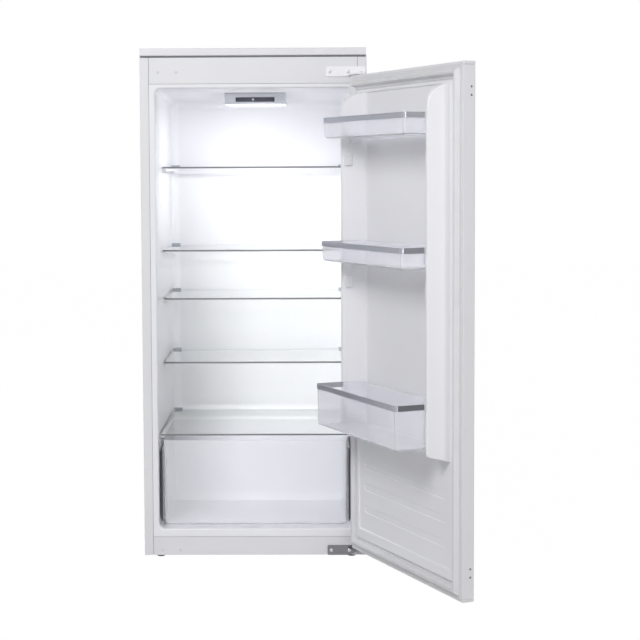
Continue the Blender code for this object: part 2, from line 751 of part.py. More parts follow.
def drawer():
    """The clear drawer: a tapered tub on two glides."""
    front = FRONT + DRAWER_FRONT
    back = STEP_FACE - DRAWER_BACK_GAP
    bottom = FLOOR_RISE + FIT_GAP + GLIDE_HEIGHT
    top = bottom + DRAWER_HEIGHT
    half = DRAWER_HALF_WIDTH / DRAWER_TAPER_SHARE
    centre = (0, (front + back) / 2, 0)
    flare = (centre, (DRAWER_TAPER_SHARE, 1, 1))

    def tub_outline(inset):
        return rounded(
            [
                (-half + inset, front + inset, DRAWER_CORNER - inset),
                (half - inset, front + inset, DRAWER_CORNER - inset),
                (half - inset, back - inset, DRAWER_CORNER - inset),
                (-half + inset, back - inset, DRAWER_CORNER - inset),
            ]
        )

    def keel(name, inset):
        over = top + 2 * OVERRUN
        side = DRAWER_HALF_WIDTH + OVERRUN
        outline = rounded(
            [
                (-half + inset, bottom + inset, DRAWER_KEEL - inset),
                (half - inset, bottom + inset, DRAWER_KEEL - inset),
                (side - inset, over, 0),
                (-side + inset, over, 0),
            ]
        )
        return prism(name, outline, front - OVERRUN, back + OVERRUN, "Y", cutter=True)

    tub = prism("crisper_drawer", tub_outline(0), bottom, top, "Z", CLEAR_PLASTIC, flare=flare)
    cut(tub, keel("drawer_keel", 0), "INTERSECT")
    floor = bottom + DRAWER_WALL
    inner = tub_outline(DRAWER_WALL)
    space = prism("drawer_space", inner, floor, top + OVERRUN, "Z", cutter=True, flare=flare)
    cut(space, keel("drawer_space_keel", DRAWER_WALL), "INTERSECT")
    glides = []
    for side in (-1, 1):
        x = side * half * 3 / 4
        low = (x - GLIDE_WIDTH / 2, front + DRAWER_CORNER, bottom - GLIDE_HEIGHT)
        glides.append((low, (x + GLIDE_WIDTH / 2, back - DRAWER_CORNER, floor - DRAWER_WALL / 2)))
    cut(tub, space)
    cut(tub, boxes("drawer_glides", glides, cutter=True), "UNION")


def drawer_guides():
    """Dark upright guides between the drawer and the liner's walls."""
    near = DRAWER_HALF_WIDTH + GUIDE_GAP
    front = FRONT + GUIDE_FRONT
    back = STEP_FACE - CAVITY_RADIUS
    low = FLOOR_RISE + GUIDE_BOTTOM_RISE
    high = low + GUIDE_HEIGHT
    reach = half_width_at(back) - FIT_GAP
    for side, name in ((-1, "drawer_guide_left"), (1, "drawer_guide_right")):
        inner = side * near
        outer = side * (near + GUIDE_WIDTH)
        outline = (
            (inner, low),
            (outer, low + GUIDE_POINT),
            (outer, high - GUIDE_POINT),
            (inner, high),
        )
        guide = prism(name, outline, front, back, "Y", GUIDE_GREY)
        rungs = []
        for share in (1 / 4, 3 / 4):
            level = low + share * GUIDE_HEIGHT
            x_low, x_high = sorted((side * (near + GUIDE_WIDTH / 2), side * reach))
            rung_low = (x_low, front + GUIDE_POINT, level - GUIDE_RAIL / 2)
            rungs.append((rung_low, (x_high, back - GUIDE_POINT, level + GUIDE_RAIL / 2)))
        cut(guide, boxes(name + "_rungs", rungs, cutter=True), "UNION")


def control_housing():
    """The housing on the ceiling with its window, button and lamp lens."""
    front = FRONT + HOUSING_FRONT
    back = front + HOUSING_DEPTH
    low = ceiling_at(front) - HOUSING_HEIGHT
    outline = (
        (front, low + HOUSING_CHAMFER),
        (front + HOUSING_CHAMFER, low),
        (back - HOUSING_CHAMFER, low),
        (back, low + HOUSING_CHAMFER),
        (back, ceiling_at(back) - FIT_GAP),
        (front, ceiling_at(front) - FIT_GAP),
    )
    half = HOUSING_WIDTH / 2
    housing = prism("control_housing", outline, -half, half, "X", CAP_PLASTIC)

    window_low = low + WINDOW_RISE
    window_high = window_low + WINDOW_HEIGHT
    pane_half = WINDOW_WIDTH / 2
    pane_back = front + WINDOW_THICKNESS
    pane = boxes(
        "control_window",
        [((-pane_half, front, window_low), (pane_half, pane_back, window_high))],
        SMOKED,
    )
    pocket_low = (-pane_half - FIT_GAP, front - OVERRUN, window_low - FIT_GAP)
    pocket_high = (pane_half + FIT_GAP, pane_back + FIT_GAP, window_high + FIT_GAP)
    cut(housing, boxes("window_pocket", [(pocket_low, pocket_high)], cutter=True))

    button_at = (-BUTTON_OFFSET, front - BUTTON_PROUD, (window_low + window_high) / 2)
    depth = BUTTON_LENGTH + BUTTON_TRAVEL + FIT_GAP
    hole = round_hole("button_hole", BUTTON_RADIUS + FIT_GAP, 2 * depth, button_at, ALONG_Y)
    cut(pane, hole)
    cut(housing, hole)
    profile = [(0, 0), (BUTTON_RADIUS, 0), (BUTTON_RADIUS, -BUTTON_LENGTH), (0, -BUTTON_LENGTH)]
    button = turned("temperature_button", profile, CAP_PLASTIC, location=button_at)
    button.rotation_euler = ALONG_Y

    lens_half = LENS_WIDTH / 2
    lens_front = front + LENS_MARGIN
    lens_back = back - LENS_MARGIN
    lens_low = low - LENS_PROUD
    lens_high = lens_low + LENS_THICKNESS
    lens_corners = ((-lens_half, lens_front, lens_low), (lens_half, lens_back, lens_high))
    boxes("lamp_lens", [lens_corners], LENS)
    slot_low = (-lens_half - FIT_GAP, lens_front - FIT_GAP, low - OVERRUN)
    slot_high = (lens_half + FIT_GAP, lens_back + FIT_GAP, lens_high + FIT_GAP)
    cut(housing, boxes("lens_slot", [(slot_low, slot_high)], cutter=True))


def screw_places():
    """Hinge screws, and the plugged holes at the left for a door hung there."""
    right = HALF_WIDTH - TRIM_INSET - TRIM_INSET
    first = right - BRACKET_WIDTH + SCREW_FROM_EDGE
    columns = (first, first + SCREW_PITCH)
    levels = {"top": DOOR_TOP + SCREW_RISE, "bottom": SCREW_RISE}
    return columns, levels


def screw_holes():
    """Clearance round each hinge screw and its mirrored hole, for each rail."""
    columns, levels = screw_places()
    made = {}
    for rail, level in levels.items():
        made[rail] = []
        for side in (-1, 1):
            for number, x in enumerate(columns):
                name = f"{rail}_hole_{number}_{'left' if side < 0 else 'right'}"
                radius = SCREW_RADIUS + FIT_GAP
                centre = (side * x, FRONT, level)
                made[rail].append(round_hole(name, radius, 2 * SCREW_LENGTH, centre, ALONG_Y, sides=16))
    return made


SCREW_HOLES = screw_holes()


def hinge_bracket(name, plate_low, arm_low, holes, look):
    """A plate on the rail with an arm that reaches forward to the hinge pin."""
    right = HALF_WIDTH - TRIM_INSET - TRIM_INSET
    left = right - BRACKET_WIDTH
    plate_high = plate_low + BRACKET_HEIGHT
    face = FRONT - FIT_GAP
    rest = FRONT - FIT_GAP - BRACKET_PLATE
    plate_outline = rounded(
        [
            (left, plate_low, BRACKET_EDGE),
            (right - ARM_WIDTH, plate_low, 0),
            (right, arm_low, BRACKET_EDGE),
            (right, plate_high, BRACKET_EDGE),
            (left, plate_high, BRACKET_EDGE),
        ]
    )
    bracket = prism(name, plate_outline, rest, face, "Y", look)
    nose_y = PIVOT_Y - PIN_RADIUS - FIT_GAP - BRACKET_PLATE
    arm_outline = rounded(
        [
            (right - ARM_WIDTH, face - BRACKET_PLATE / 2, 0),
            (PIVOT_X - ARM_NOSE, nose_y, BRACKET_EDGE),
            (PIVOT_X + ARM_NOSE, nose_y, BRACKET_EDGE),
            (right, face - BRACKET_PLATE / 2, 0),
        ]
    )
    arm_high = arm_low + BRACKET_ARM
    cut(bracket, prism(name + "_arm", arm_outline, arm_low, arm_high, "Z", cutter=True), "UNION")
    pin_centre = (PIVOT_X, PIVOT_Y, arm_low)
    cut(bracket, round_hole(name + "_pin_hole", PIN_RADIUS + FIT_GAP, 4 * BRACKET_ARM, pin_centre, ALONG_Z))
    for hole in holes:
        cut(bracket, hole)


def hinge_pin(name, tip, head_under, points_down):
    """A headed pin. head_under is where its head rests on the arm."""
    length = abs(tip - head_under)
    profile = [
        (0, FIT_GAP + PIN_HEAD_HEIGHT),
        (PIN_HEAD_RADIUS, FIT_GAP + PIN_HEAD_HEIGHT),
        (PIN_HEAD_RADIUS, FIT_GAP),
        (PIN_RADIUS, FIT_GAP),
        (PIN_RADIUS, -length),
        (0, -length),
    ]
    pin = turned(name, profile, ZINC, location=(PIVOT_X, PIVOT_Y, head_under))
    if not points_down:
        pin.rotation_euler = (pi, 0, 0)


def hinges():
    """Two brackets with their pins and screws."""
    upper_arm = DOOR_TOP + COLLAR_HEIGHT + 2 * FIT_GAP
    lower_arm = DOOR_BOTTOM_RISE - COLLAR_HEIGHT - 2 * FIT_GAP - BRACKET_ARM
    right_holes = {rail: holes[2:] for rail, holes in SCREW_HOLES.items()}
    hinge_bracket("hinge_bracket_upper", DOOR_TOP + FIT_GAP, upper_arm, right_holes["top"], WHITE_STEEL)
    hinge_bracket("hinge_bracket_lower", 0, lower_arm, right_holes["bottom"], ZINC)
    hinge_pin("hinge_pin_upper", DOOR_TOP - BUSH_DEPTH, upper_arm + BRACKET_ARM, True)
    hinge_pin("hinge_pin_lower", DOOR_BOTTOM_RISE + BUSH_DEPTH, lower_arm, False)
    head_face = FRONT - BRACKET_PLATE - 2 * FIT_GAP
    profile = [
        (0, SCREW_HEAD_HEIGHT),
        (SCREW_HEAD_RADIUS * 0.6, SCREW_HEAD_HEIGHT),
        (SCREW_HEAD_RADIUS, SCREW_HEAD_HEIGHT / 3),
        (SCREW_HEAD_RADIUS, 0),
        (SCREW_RADIUS, 0),
        (SCREW_RADIUS, -SCREW_LENGTH),
        (0, -SCREW_LENGTH),
    ]
    columns, levels = screw_places()
    for rail, level in levels.items():
        for number, x in enumerate(columns, start=1):
            name = f"hinge_screw_{rail}_{number}"
            screw = turned(name, profile, ZINC, location=(x, head_face, level), sides=16)
            screw.rotation_euler = ALONG_Y


def door_axis():
    """The empty on the hinge pins. The door is modelled shut and turns with it."""
    axis = bpy.data.objects.new("door_axis", None)
    PARTS.objects.link(axis)
    axis.location = (PIVOT_X, PIVOT_Y, 0)
    axis.rotation_euler = (0, 0, radians(OPENING_DEGREES))
    return axis


DOOR_AXIS = door_axis()


def on_door(across, inward):
    """A place on the door, from its hinge edge and its inner face, seen from the pins."""
    return (PIVOT_FROM_EDGE - across, PIVOT_BEHIND_FACE + inward)


def door_box(low, high):
    """Corners of a box given as (across, inward, height) on the door."""
    x_low, y_low = on_door(high[0], low[1])
    x_high, y_high = on_door(low[0], high[1])
    return ((x_low, y_low, low[2]), (x_high, y_high, high[2]))


def door_prism(name, outline, low, high, look=None, cutter=False):
    """Extrude a plan drawn in (across, inward) up the door."""
    plan = [on_door(*point) for point in outline]
    return prism(name, plan, low, high, "Z", look, DOOR_AXIS, cutter)


def door_casing():
    """The steel pan, folded in along both uprights, and the plastic end caps."""
    wide = DOOR_WIDTH
    deep = DOOR_THICKNESS
    wall = SHEET
    lip = DOOR_LIP
    section = rounded(
        [
            (0, 0, 0),
            (0, -deep, DOOR_CORNER),
            (wide, -deep, DOOR_CORNER),
            (wide, 0, 0),
            (wide - lip, 0, 0),
            (wide - lip, -wall, 0),
            (wide - wall, -wall, 0),
            (wide - wall, wall - deep, DOOR_CORNER - wall),
            (wall, wall - deep, DOOR_CORNER - wall),
            (wall, -wall, 0),
            (lip, -wall, 0),
            (lip, 0, 0),
        ],
        steps=3,
    )
    pan = door_prism("door_outer_panel", section, PAN_BOTTOM, PAN_TOP, WHITE_STEEL)
    x_edge, hole_y = on_door(wide, -deep * 2 / 3)
    for end, away in ((DOOR_BOTTOM_RISE, 1), (DOOR_TOP, -1)):
        for step in range(2):
            level = end + away * (EDGE_HOLE_END + step * EDGE_HOLE_PITCH)
            centre = (x_edge, hole_y, level)
            name = f"edge_hole_{int(away > 0)}_{step}"
            hole = round_hole(name, EDGE_HOLE_RADIUS, 4 * wall, centre, ALONG_X, DOOR_AXIS, sides=12)
            cut(pan, hole)
    cap_plan = rounded(
        [(0, 0, 0), (0, -deep, DOOR_CORNER), (wide, -deep, DOOR_CORNER), (wide, 0, 0)],
        steps=3,
    )
    for name, low in (("door_cap_bottom", DOOR_BOTTOM_RISE), ("door_cap_top", DOOR_TOP - CAP_HEIGHT)):
        cap = door_prism(name, cap_plan, low, low + CAP_HEIGHT, CAP_PLASTIC)
        cut(cap, BUSH_HOLES[name])


def bush_holes():
    """Clearance round the hinge bushes, in the caps and the foam behind them."""
    made = {}
    for name, level in (("door_cap_bottom", DOOR_BOTTOM_RISE), ("door_cap_top", DOOR_TOP)):
        radius = BUSH_RADIUS + FIT_GAP
        length = 2 * (BUSH_DEPTH + FIT_GAP)
        made[name] = round_hole(name + "_bush_hole", radius, length, (0, 0, level), ALONG_Z, DOOR_AXIS)
    return made


BUSH_HOLES = bush_holes()


def hinge_bushes():
    """Collared bushes in the end caps, which turn on the hinge pins."""
    bore = PIN_RADIUS + FIT_GAP
    for name, level, turn in (
        ("hinge_bush_lower", DOOR_BOTTOM_RISE, (pi, 0, 0)),
        ("hinge_bush_upper", DOOR_TOP, (0, 0, 0)),
    ):
        profile = [
            (bore, FIT_GAP + COLLAR_HEIGHT),
            (COLLAR_RADIUS, FIT_GAP + COLLAR_HEIGHT),
            (COLLAR_RADIUS, FIT_GAP),
            (BUSH_RADIUS, FIT_GAP),
            (BUSH_RADIUS, -BUSH_DEPTH),
            (bore, -BUSH_DEPTH),
        ]
        bush = turned(name, profile, CAP_PLASTIC, DOOR_AXIS, (0, 0, level), ring=True)
        bush.rotation_euler = turn


def ridge(name, mirrored, wall, cutter=True):
    """One upright ridge of the door's liner, drawn in along its height. wall thins it all round."""
    bottom = DOOR_BOTTOM_RISE + RIDGE_BOTTOM_SHARE * DOOR_HEIGHT + wall
    top = DOOR_TOP - RIDGE_TOP_DROP - wall
    crest = RIDGE_PROUD - wall
    base = -DOOR_LINER_WALL / 2 - wall
    side_view = [(base, bottom), (crest, bottom + RIDGE_FOOT_SLOPE)]
    steps = 8
    for step in range(steps + 1):
        angle = pi / 2 * step / steps
        out = (crest - PLATEAU_PROUD) * cos(angle) + PLATEAU_PROUD
        up = top - RIDGE_ROUND + RIDGE_ROUND * sin(angle)
        side_view.append((out, up))
    side_view.append((base, top))
    outline = [(PIVOT_BEHIND_FACE + out, up) for out, up in side_view]
    thing = prism(name, outline, 0, 1, "X", parent=DOOR_AXIS, cutter=cutter)
    base_margin = RIDGE_MARGIN + wall
    base_width = RIDGE_BASE_WIDTH - 2 * wall
    crest_margin = RIDGE_CREST_MARGIN + wall
    crest_width = RIDGE_CREST_WIDTH - 2 * wall
    for vert in thing.data.vertices:
        share = max(0, (vert.co.y - PIVOT_BEHIND_FACE) / RIDGE_PROUD)
        margin = base_margin + (crest_margin - base_margin) * share
        width = base_width + (crest_width - base_width) * share
        across = margin + (width if vert.co.x > 1 / 2 else 0)
        if mirrored:
            across = DOOR_WIDTH - across
        vert.co.x = PIVOT_FROM_EDGE - across
    bm = bmesh.new()
    bm.from_mesh(thing.data)
    if not wall:
        crest_edge = PIVOT_BEHIND_FACE + RIDGE_PROUD / 2
        long_edges = [e for e in bm.edges if min(v.co.y for v in e.verts) > crest_edge]
        bmesh.ops.bevel(
            bm,
            geom=[e for e in long_edges if abs(e.verts[0].co.x - e.verts[1].co.x) < RIDGE_EDGE],
            offset=RIDGE_EDGE,
            segments=3,
            profile=0.5,
            affect="EDGES",
            clamp_overlap=True,
        )
    bmesh.ops.recalc_face_normals(bm, faces=bm.faces)
    bm.to_mesh(thing.data)
    bm.free()
    return thing


def bin_levels():
    """Height of each bin's underside."""
    return [DOOR_BOTTOM_RISE + share * DOOR_HEIGHT for share in BIN_LEVEL_SHARES]


def ridge_inner(out):
    """How far a ridge's bin side lies from the door's edge, at a distance from the inner face."""
    base = RIDGE_MARGIN + RIDGE_BASE_WIDTH
    crest = RIDGE_CREST_MARGIN + RIDGE_CREST_WIDTH
    return base + (crest - base) * out / RIDGE_PROUD


def bin_lugs():
    """Small lugs on the ridges: one pair under each bin, and a spare pair lower down."""
    near = LUG_FROM_FACE
    far = near + LUG_DEPTH
    corners = []
    for which, level in zip(BIN_NAMES, bin_levels()):
        tops = [level - FIT_GAP]
        if which != "lower":
            tops.append(level - SPARE_LUG_DROP)
        for top in tops:
            root = ridge_inner(far) - DOOR_LINER_WALL
            tip = ridge_inner(near) + LUG_WIDTH
            low_z = top - LUG_HEIGHT
            corners.append(door_box((root, near, low_z), (tip, far, top)))
            corners.append(door_box((DOOR_WIDTH - tip, near, low_z), (DOOR_WIDTH - root, far, top)))
    return boxes("bin_lugs", corners, parent=DOOR_AXIS, cutter=True)


def door_liner():
    """The moulded inner skin: a raised field, a sunk panel in it, ridges and pressed grooves."""
    wall = DOOR_LINER_WALL
    low_z = PAN_BOTTOM
    high_z = PAN_TOP
    edge = DOOR_LIP + FIT_GAP
    sheet = door_box((edge, -wall, low_z), (DOOR_WIDTH - edge, 0, high_z))
    skin = boxes("door_inner_liner", [sheet], LINER_PLASTIC, DOOR_AXIS)

    def field(name, margin, behind, proud):
        bottom = DOOR_BOTTOM_RISE + margin
        low = (margin, behind, bottom)
        high = (DOOR_WIDTH - margin, proud, DOOR_TOP - margin)
        thing = boxes(name, [door_box(low, high)], parent=DOOR_AXIS, cutter=True)
        return soften(thing, PLATEAU_BEVEL, 1)

    cut(skin, field("raised_field", PLATEAU_MARGIN, -wall / 2, PLATEAU_PROUD), "UNION")
    hollow = field("field_hollow", PLATEAU_MARGIN + wall, -wall - OVERRUN, PLATEAU_PROUD - wall)
    panel_margin = PLATEAU_MARGIN + PANEL_MARGIN
    panel_low = (RIDGE_MARGIN, PLATEAU_PROUD - PANEL_RECESS, DOOR_BOTTOM_RISE + panel_margin)
    panel_high = (DOOR_WIDTH - RIDGE_MARGIN, PLATEAU_PROUD + OVERRUN, DOOR_TOP - RIDGE_TOP_DROP)
    panel = boxes("sunk_panel", [door_box(panel_low, panel_high)], parent=DOOR_AXIS, cutter=True)
    kept_low = (RIDGE_MARGIN - wall, PLATEAU_PROUD - PANEL_RECESS - wall, panel_low[2] - wall)
    kept_high = (DOOR_WIDTH - RIDGE_MARGIN + wall, PLATEAU_PROUD, panel_high[2] + wall)
    panel_face = PLATEAU_PROUD - PANEL_RECESS
    backs = [door_box(kept_low, kept_high)]
    grooves = []
    for share in GROOVE_LEVEL_SHARES:
        level = DOOR_BOTTOM_RISE + share * DOOR_HEIGHT
        low = level - GROOVE_HEIGHT / 2
        high = level + GROOVE_HEIGHT / 2
        back_low = (GROOVE_MARGIN - wall, panel_face - GROOVE_DEPTH - wall, low - wall)
        back_high = (DOOR_WIDTH - GROOVE_MARGIN + wall, panel_face, high + wall)
        backs.append(door_box(back_low, back_high))
        groove_low = (GROOVE_MARGIN, panel_face - GROOVE_DEPTH, low)
        groove_high = (DOOR_WIDTH - GROOVE_MARGIN, panel_face + OVERRUN, high)
        grooves.append(door_box(groove_low, groove_high))
    for back in backs:
        cut(hollow, boxes("panel_back", [back], parent=DOOR_AXIS, cutter=True))
    cut(skin, panel)
    cut(skin, hollow)
    pressed = boxes("pressed_grooves", grooves, parent=DOOR_AXIS, cutter=True)
    cut(skin, soften(pressed, GROOVE_ROUND, 1))
    for mirrored, name in ((False, "hinge_ridge"), (True, "free_ridge")):
        cut(skin, ridge(name, mirrored, 0), "UNION")
    cut(skin, bin_lugs(), "UNION")
    return skin


def door_hollows(skin):
    """Hollow the ridges from behind, where the door's foam fills them."""
    for mirrored, name in ((False, "hinge_ridge_core"), (True, "free_ridge_core")):
        cut(skin, ridge(name, mirrored, DOOR_LINER_WALL))


def door_foam():
    """The foam block inside the pan."""
    wall = SHEET + FIT_GAP
    low = (wall, wall - DOOR_THICKNESS, PAN_BOTTOM)
    high = (DOOR_WIDTH - wall, -DOOR_LINER_WALL - FIT_GAP, PAN_TOP)
    block = boxes("door_foam", [door_box(low, high)], FOAM, DOOR_AXIS)
    soften(block, DOOR_CORNER - SHEET, 1)
    for hole in BUSH_HOLES.values():
        cut(block, hole)


def gasket():
    """The magnetic gasket: one hat-shaped section led round the door's edge."""
    section = (
        (GASKET_OUTER, FIT_GAP),
        (GASKET_OUTER, GASKET_LIP),
        (BULB_OUTER - BULB_SLOPE, GASKET_LIP + BULB_SLOPE),
        (BULB_OUTER, BULB_PROUD),
        (BULB_INNER, BULB_PROUD),
        (BULB_INNER + BULB_SLOPE, GASKET_LIP + BULB_SLOPE),
        (GASKET_INNER, GASKET_LIP),
        (GASKET_INNER, FIT_GAP),
    )
    bm = bmesh.new()
    rings = []
    for margin, out in section:
        corners = (
            (margin, DOOR_BOTTOM_RISE + margin),
            (DOOR_WIDTH - margin, DOOR_BOTTOM_RISE + margin),
            (DOOR_WIDTH - margin, DOOR_TOP - margin),
            (margin, DOOR_TOP - margin),
        )
        ring = [bm.verts.new((*on_door(across, out), level)) for across, level in corners]
        rings.append(ring)
    for ring, following in zip(rings, rings[1:] + rings[:1]):
        for index in range(len(ring)):
            after = (index + 1) % len(ring)
            bm.faces.new((ring[index], ring[after], following[after], following[index]))
    place("door_gasket", mesh_of("door_gasket", bm), GASKET_PVC, DOOR_AXIS)


def bin_plan(reach, inset, grow=0.0):
    """A bin's plan: between the ridges at the back, over them at full width in front."""
    back = BIN_BACK_GAP + inset
    narrow = ridge_inner(back) + SLIDE_GAP / 2 + inset
    wide = BIN_END_MARGIN + inset - grow
    shoulder = RIDGE_PROUD * 4 / 5
    front = reach - inset + grow
    corner = BIN_CORNER - inset + grow
    return rounded(
        [
            (narrow, back, 0),
            (DOOR_WIDTH - narrow, back, 0),
            (DOOR_WIDTH - wide, shoulder, 0),
            (DOOR_WIDTH - wide, front, corner),
            (wide, front, corner),
            (wide, shoulder, 0),
        ],
        steps=4,
    )


def door_bin(which, level, height, reach):
    """A clear bin that flares a little upwards, with a silver strip round its rim."""
    name = f"door_bin_{which}"
    top = level + height
    middle = on_door(DOOR_WIDTH / 2, BIN_BACK_GAP)
    flare = ((*middle, 0), (1, BIN_FLARE_SHARE, 1))
    plan = [on_door(*point) for point in bin_plan(reach / BIN_FLARE_SHARE, 0)]
    inner = [on_door(*point) for point in bin_plan(reach / BIN_FLARE_SHARE, BIN_WALL)]
    tray = prism(name, plan, level, top, "Z", CLEAR_PLASTIC, DOOR_AXIS, flare=flare)
    floor = level + BIN_WALL
    cut(tray, prism(name + "_space", inner, floor, top + OVERRUN, "Z", None, DOOR_AXIS, True, flare))
    trim_inner = bin_plan(reach, 0, FIT_GAP)
    trim_outer = bin_plan(reach, 0, FIT_GAP + BIN_TRIM_WALL)
    trim_low = top - BIN_TRIM_HEIGHT
    trim = door_prism(name + "_trim", trim_outer, trim_low, top, SILVER_TRIM)
    hollow = door_prism(name + "_trim_space", trim_inner, trim_low - OVERRUN, top + OVERRUN, cutter=True)
    back_low = (0, -OVERRUN, trim_low - OVERRUN)
    back_high = (DOOR_WIDTH, RIDGE_PROUD + FIT_GAP, top + OVERRUN)
    open_back = boxes(name + "_trim_back", [door_box(back_low, back_high)], parent=DOOR_AXIS, cutter=True)
    cut(trim, hollow)
    cut(trim, open_back)


def door():
    """Everything that swings."""
    door_casing()
    hinge_bushes()
    door_hollows(door_liner())
    door_foam()
    gasket()
    for which, level, height, reach in zip(BIN_NAMES, bin_levels(), BIN_HEIGHTS, BIN_REACHES):
        door_bin(which, level, height, reach)


def bent_path(corners, radius, steps=4):
    """A path whose corners are rounded, for a bent tube."""
    points = [Vector(corners[0])]
    for before, here, after in zip(corners, corners[1:], corners[2:]):
        here = Vector(here)
        back = (Vector(before) - here).normalized() * radius
        onward = (Vector(after) - here).normalized() * radius
        for step in range(steps + 1):
            share = step / steps
            points.append(here + back * (1 - share) ** 2 + onward * share ** 2)
    points.append(Vector(corners[-1]))
    return points


def tube(name, points, radius, look):
    """A round tube along a list of points."""
    curve = bpy.data.curves.new(name, "CURVE")
    curve.dimensions = "3D"
    curve.bevel_depth = radius
    curve.bevel_resolution = 2
    curve.use_fill_caps = True
    curve.resolution_u = 1
    line = curve.splines.new("POLY")
    line.points.add(len(points) - 1)
    for slot, point in zip(line.points, points):
        slot.co = (*point, 1)
    return place(name, curve, look)


def condenser():
    """The hot coil: up one side from the compressor, down in runs, and in to the dryer."""
    right = INSIDE_HALF - COIL_MARGIN
    left = -right
    levels = coil_levels()
    bend_level = COMPRESSOR_FOOT + COMPRESSOR_HEIGHT / 2
    start = (COMPRESSOR_OFFSET + COMPRESSOR_RADIUS + COMPRESSOR_SEAM + FIT_GAP, COMPRESSOR_Y, bend_level)
    corners = [start, (right, COMPRESSOR_Y, bend_level), (right, COIL_Y, bend_level)]
    corners.append((right, COIL_Y, levels[0]))
    ends = (left, right - COIL_LANE)
    for run, level in enumerate(levels):
        corners.append((ends[run % 2], COIL_Y, level))
        if run < len(levels) - 1:
            corners.append((ends[run % 2], COIL_Y, levels[run + 1]))
    last = corners[-1][0]
    dryer_top = DRYER_RISE + DRYER_LENGTH + FIT_GAP
    lowest = dryer_top + 2 * COIL_BEND
    corners.append((last, COIL_Y, lowest))
    corners.append((last, COMPRESSOR_Y, lowest))
    corners.append((last, COMPRESSOR_Y, dryer_top))
    tube("condenser_coil", bent_path(corners, COIL_BEND), COIL_RADIUS, BLACK_STEEL)
    neck = COIL_RADIUS * 3 / 2
    profile = [
        (0, DRYER_LENGTH),
        (neck, DRYER_LENGTH),
        (DRYER_RADIUS, DRYER_LENGTH - DRYER_NECK),
        (DRYER_RADIUS, DRYER_NECK),
        (neck, 0),
        (0, 0),
    ]
    turned("filter_dryer", profile, COPPER, location=(last, COMPRESSOR_Y, DRYER_RISE))


def compressor():
    """The compressor on its crossbar, with its terminal box and the tray for melt water."""
    bar_low = (-INSIDE_HALF, PLATE_FRONT, 0)
    boxes("compressor_crossbar", [(bar_low, (INSIDE_HALF, BACK, PLATE_THICKNESS))], GALVANISED)
    wide = COMPRESSOR_RADIUS
    tall = COMPRESSOR_HEIGHT
    waist = tall / 2
    seam = COMPRESSOR_SEAM
    profile = [
        (0, tall),
        (wide * 0.35, tall),
        (wide * 0.75, tall * 0.93),
        (wide * 0.95, tall * 0.80),
        (wide, tall * 0.65),
        (wide, waist + seam),
        (wide + seam, waist + seam),
        (wide + seam, waist - seam),
        (wide, waist - seam),
        (wide, tall * 0.20),
        (wide * 0.85, tall * 0.05),
        (wide * 0.60, 0),
        (0, 0),
    ]
    spot = (COMPRESSOR_OFFSET, COMPRESSOR_Y, COMPRESSOR_FOOT)
    turned("compressor", profile, BLACK_STEEL, location=spot, sides=28)
    box_right = COMPRESSOR_OFFSET - wide - seam - FIT_GAP
    box_left = box_right - TERMINAL_DEPTH
    box_low_z = COMPRESSOR_FOOT + waist - TERMINAL_HEIGHT / 2
    terminal_low = (box_left, COMPRESSOR_Y - TERMINAL_WIDTH / 2, box_low_z)
    terminal_high = (box_right, COMPRESSOR_Y + TERMINAL_WIDTH / 2, box_low_z + TERMINAL_HEIGHT)
    terminal = boxes("terminal_box", [(terminal_low, terminal_high)], BLACK_PLASTIC)
    inlet_at = (box_left, COMPRESSOR_Y, box_low_z + TERMINAL_HEIGHT / 3)
    cut(terminal, round_hole("cord_inlet", INLET_RADIUS, 2 * INLET_DEPTH, inlet_at, ALONG_X, sides=16))
    tray_low_z = COMPRESSOR_FOOT + tall + FIT_GAP
    tray_low = Vector((COMPRESSOR_OFFSET - TRAY_LENGTH / 2, COMPRESSOR_Y - TRAY_WIDTH / 2, tray_low_z))
    tray_high = tray_low + Vector((TRAY_LENGTH, TRAY_WIDTH, TRAY_HEIGHT))
    tray = boxes("drip_tray", [(tray_low, tray_high)], BLACK_PLASTIC)
    wall = Vector((TRAY_WALL, TRAY_WALL, TRAY_WALL))
    space = (tray_low + wall, tray_high - wall + Vector((0, 0, TRAY_WALL + OVERRUN)))
    cut(tray, boxes("tray_space", [space], cutter=True))


casing()
rails()
liner()
foam()
feet()
shelves()
drawer()
drawer_guides()
control_housing()
hinges()
door()
condenser()
compressor()
for piece in PARTS.objects:
    if piece.type == "MESH" and not piece.modifiers:
        piece.data.shade_flat()
print("pieces:", sum(piece.type != "EMPTY" for piece in PARTS.objects))
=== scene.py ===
# %% [markdown]
# A column refrigerator, 540 mm wide and 1.22 m high, stands with its door swung wide open.
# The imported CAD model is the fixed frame. Each cell below makes one piece or one finish
# around it, so that the object looks like the real one from every side.

# %% Load the frame
from math import cos, pi, radians, sin, tan

import bmesh
import bpy
from mathutils import Matrix, Vector


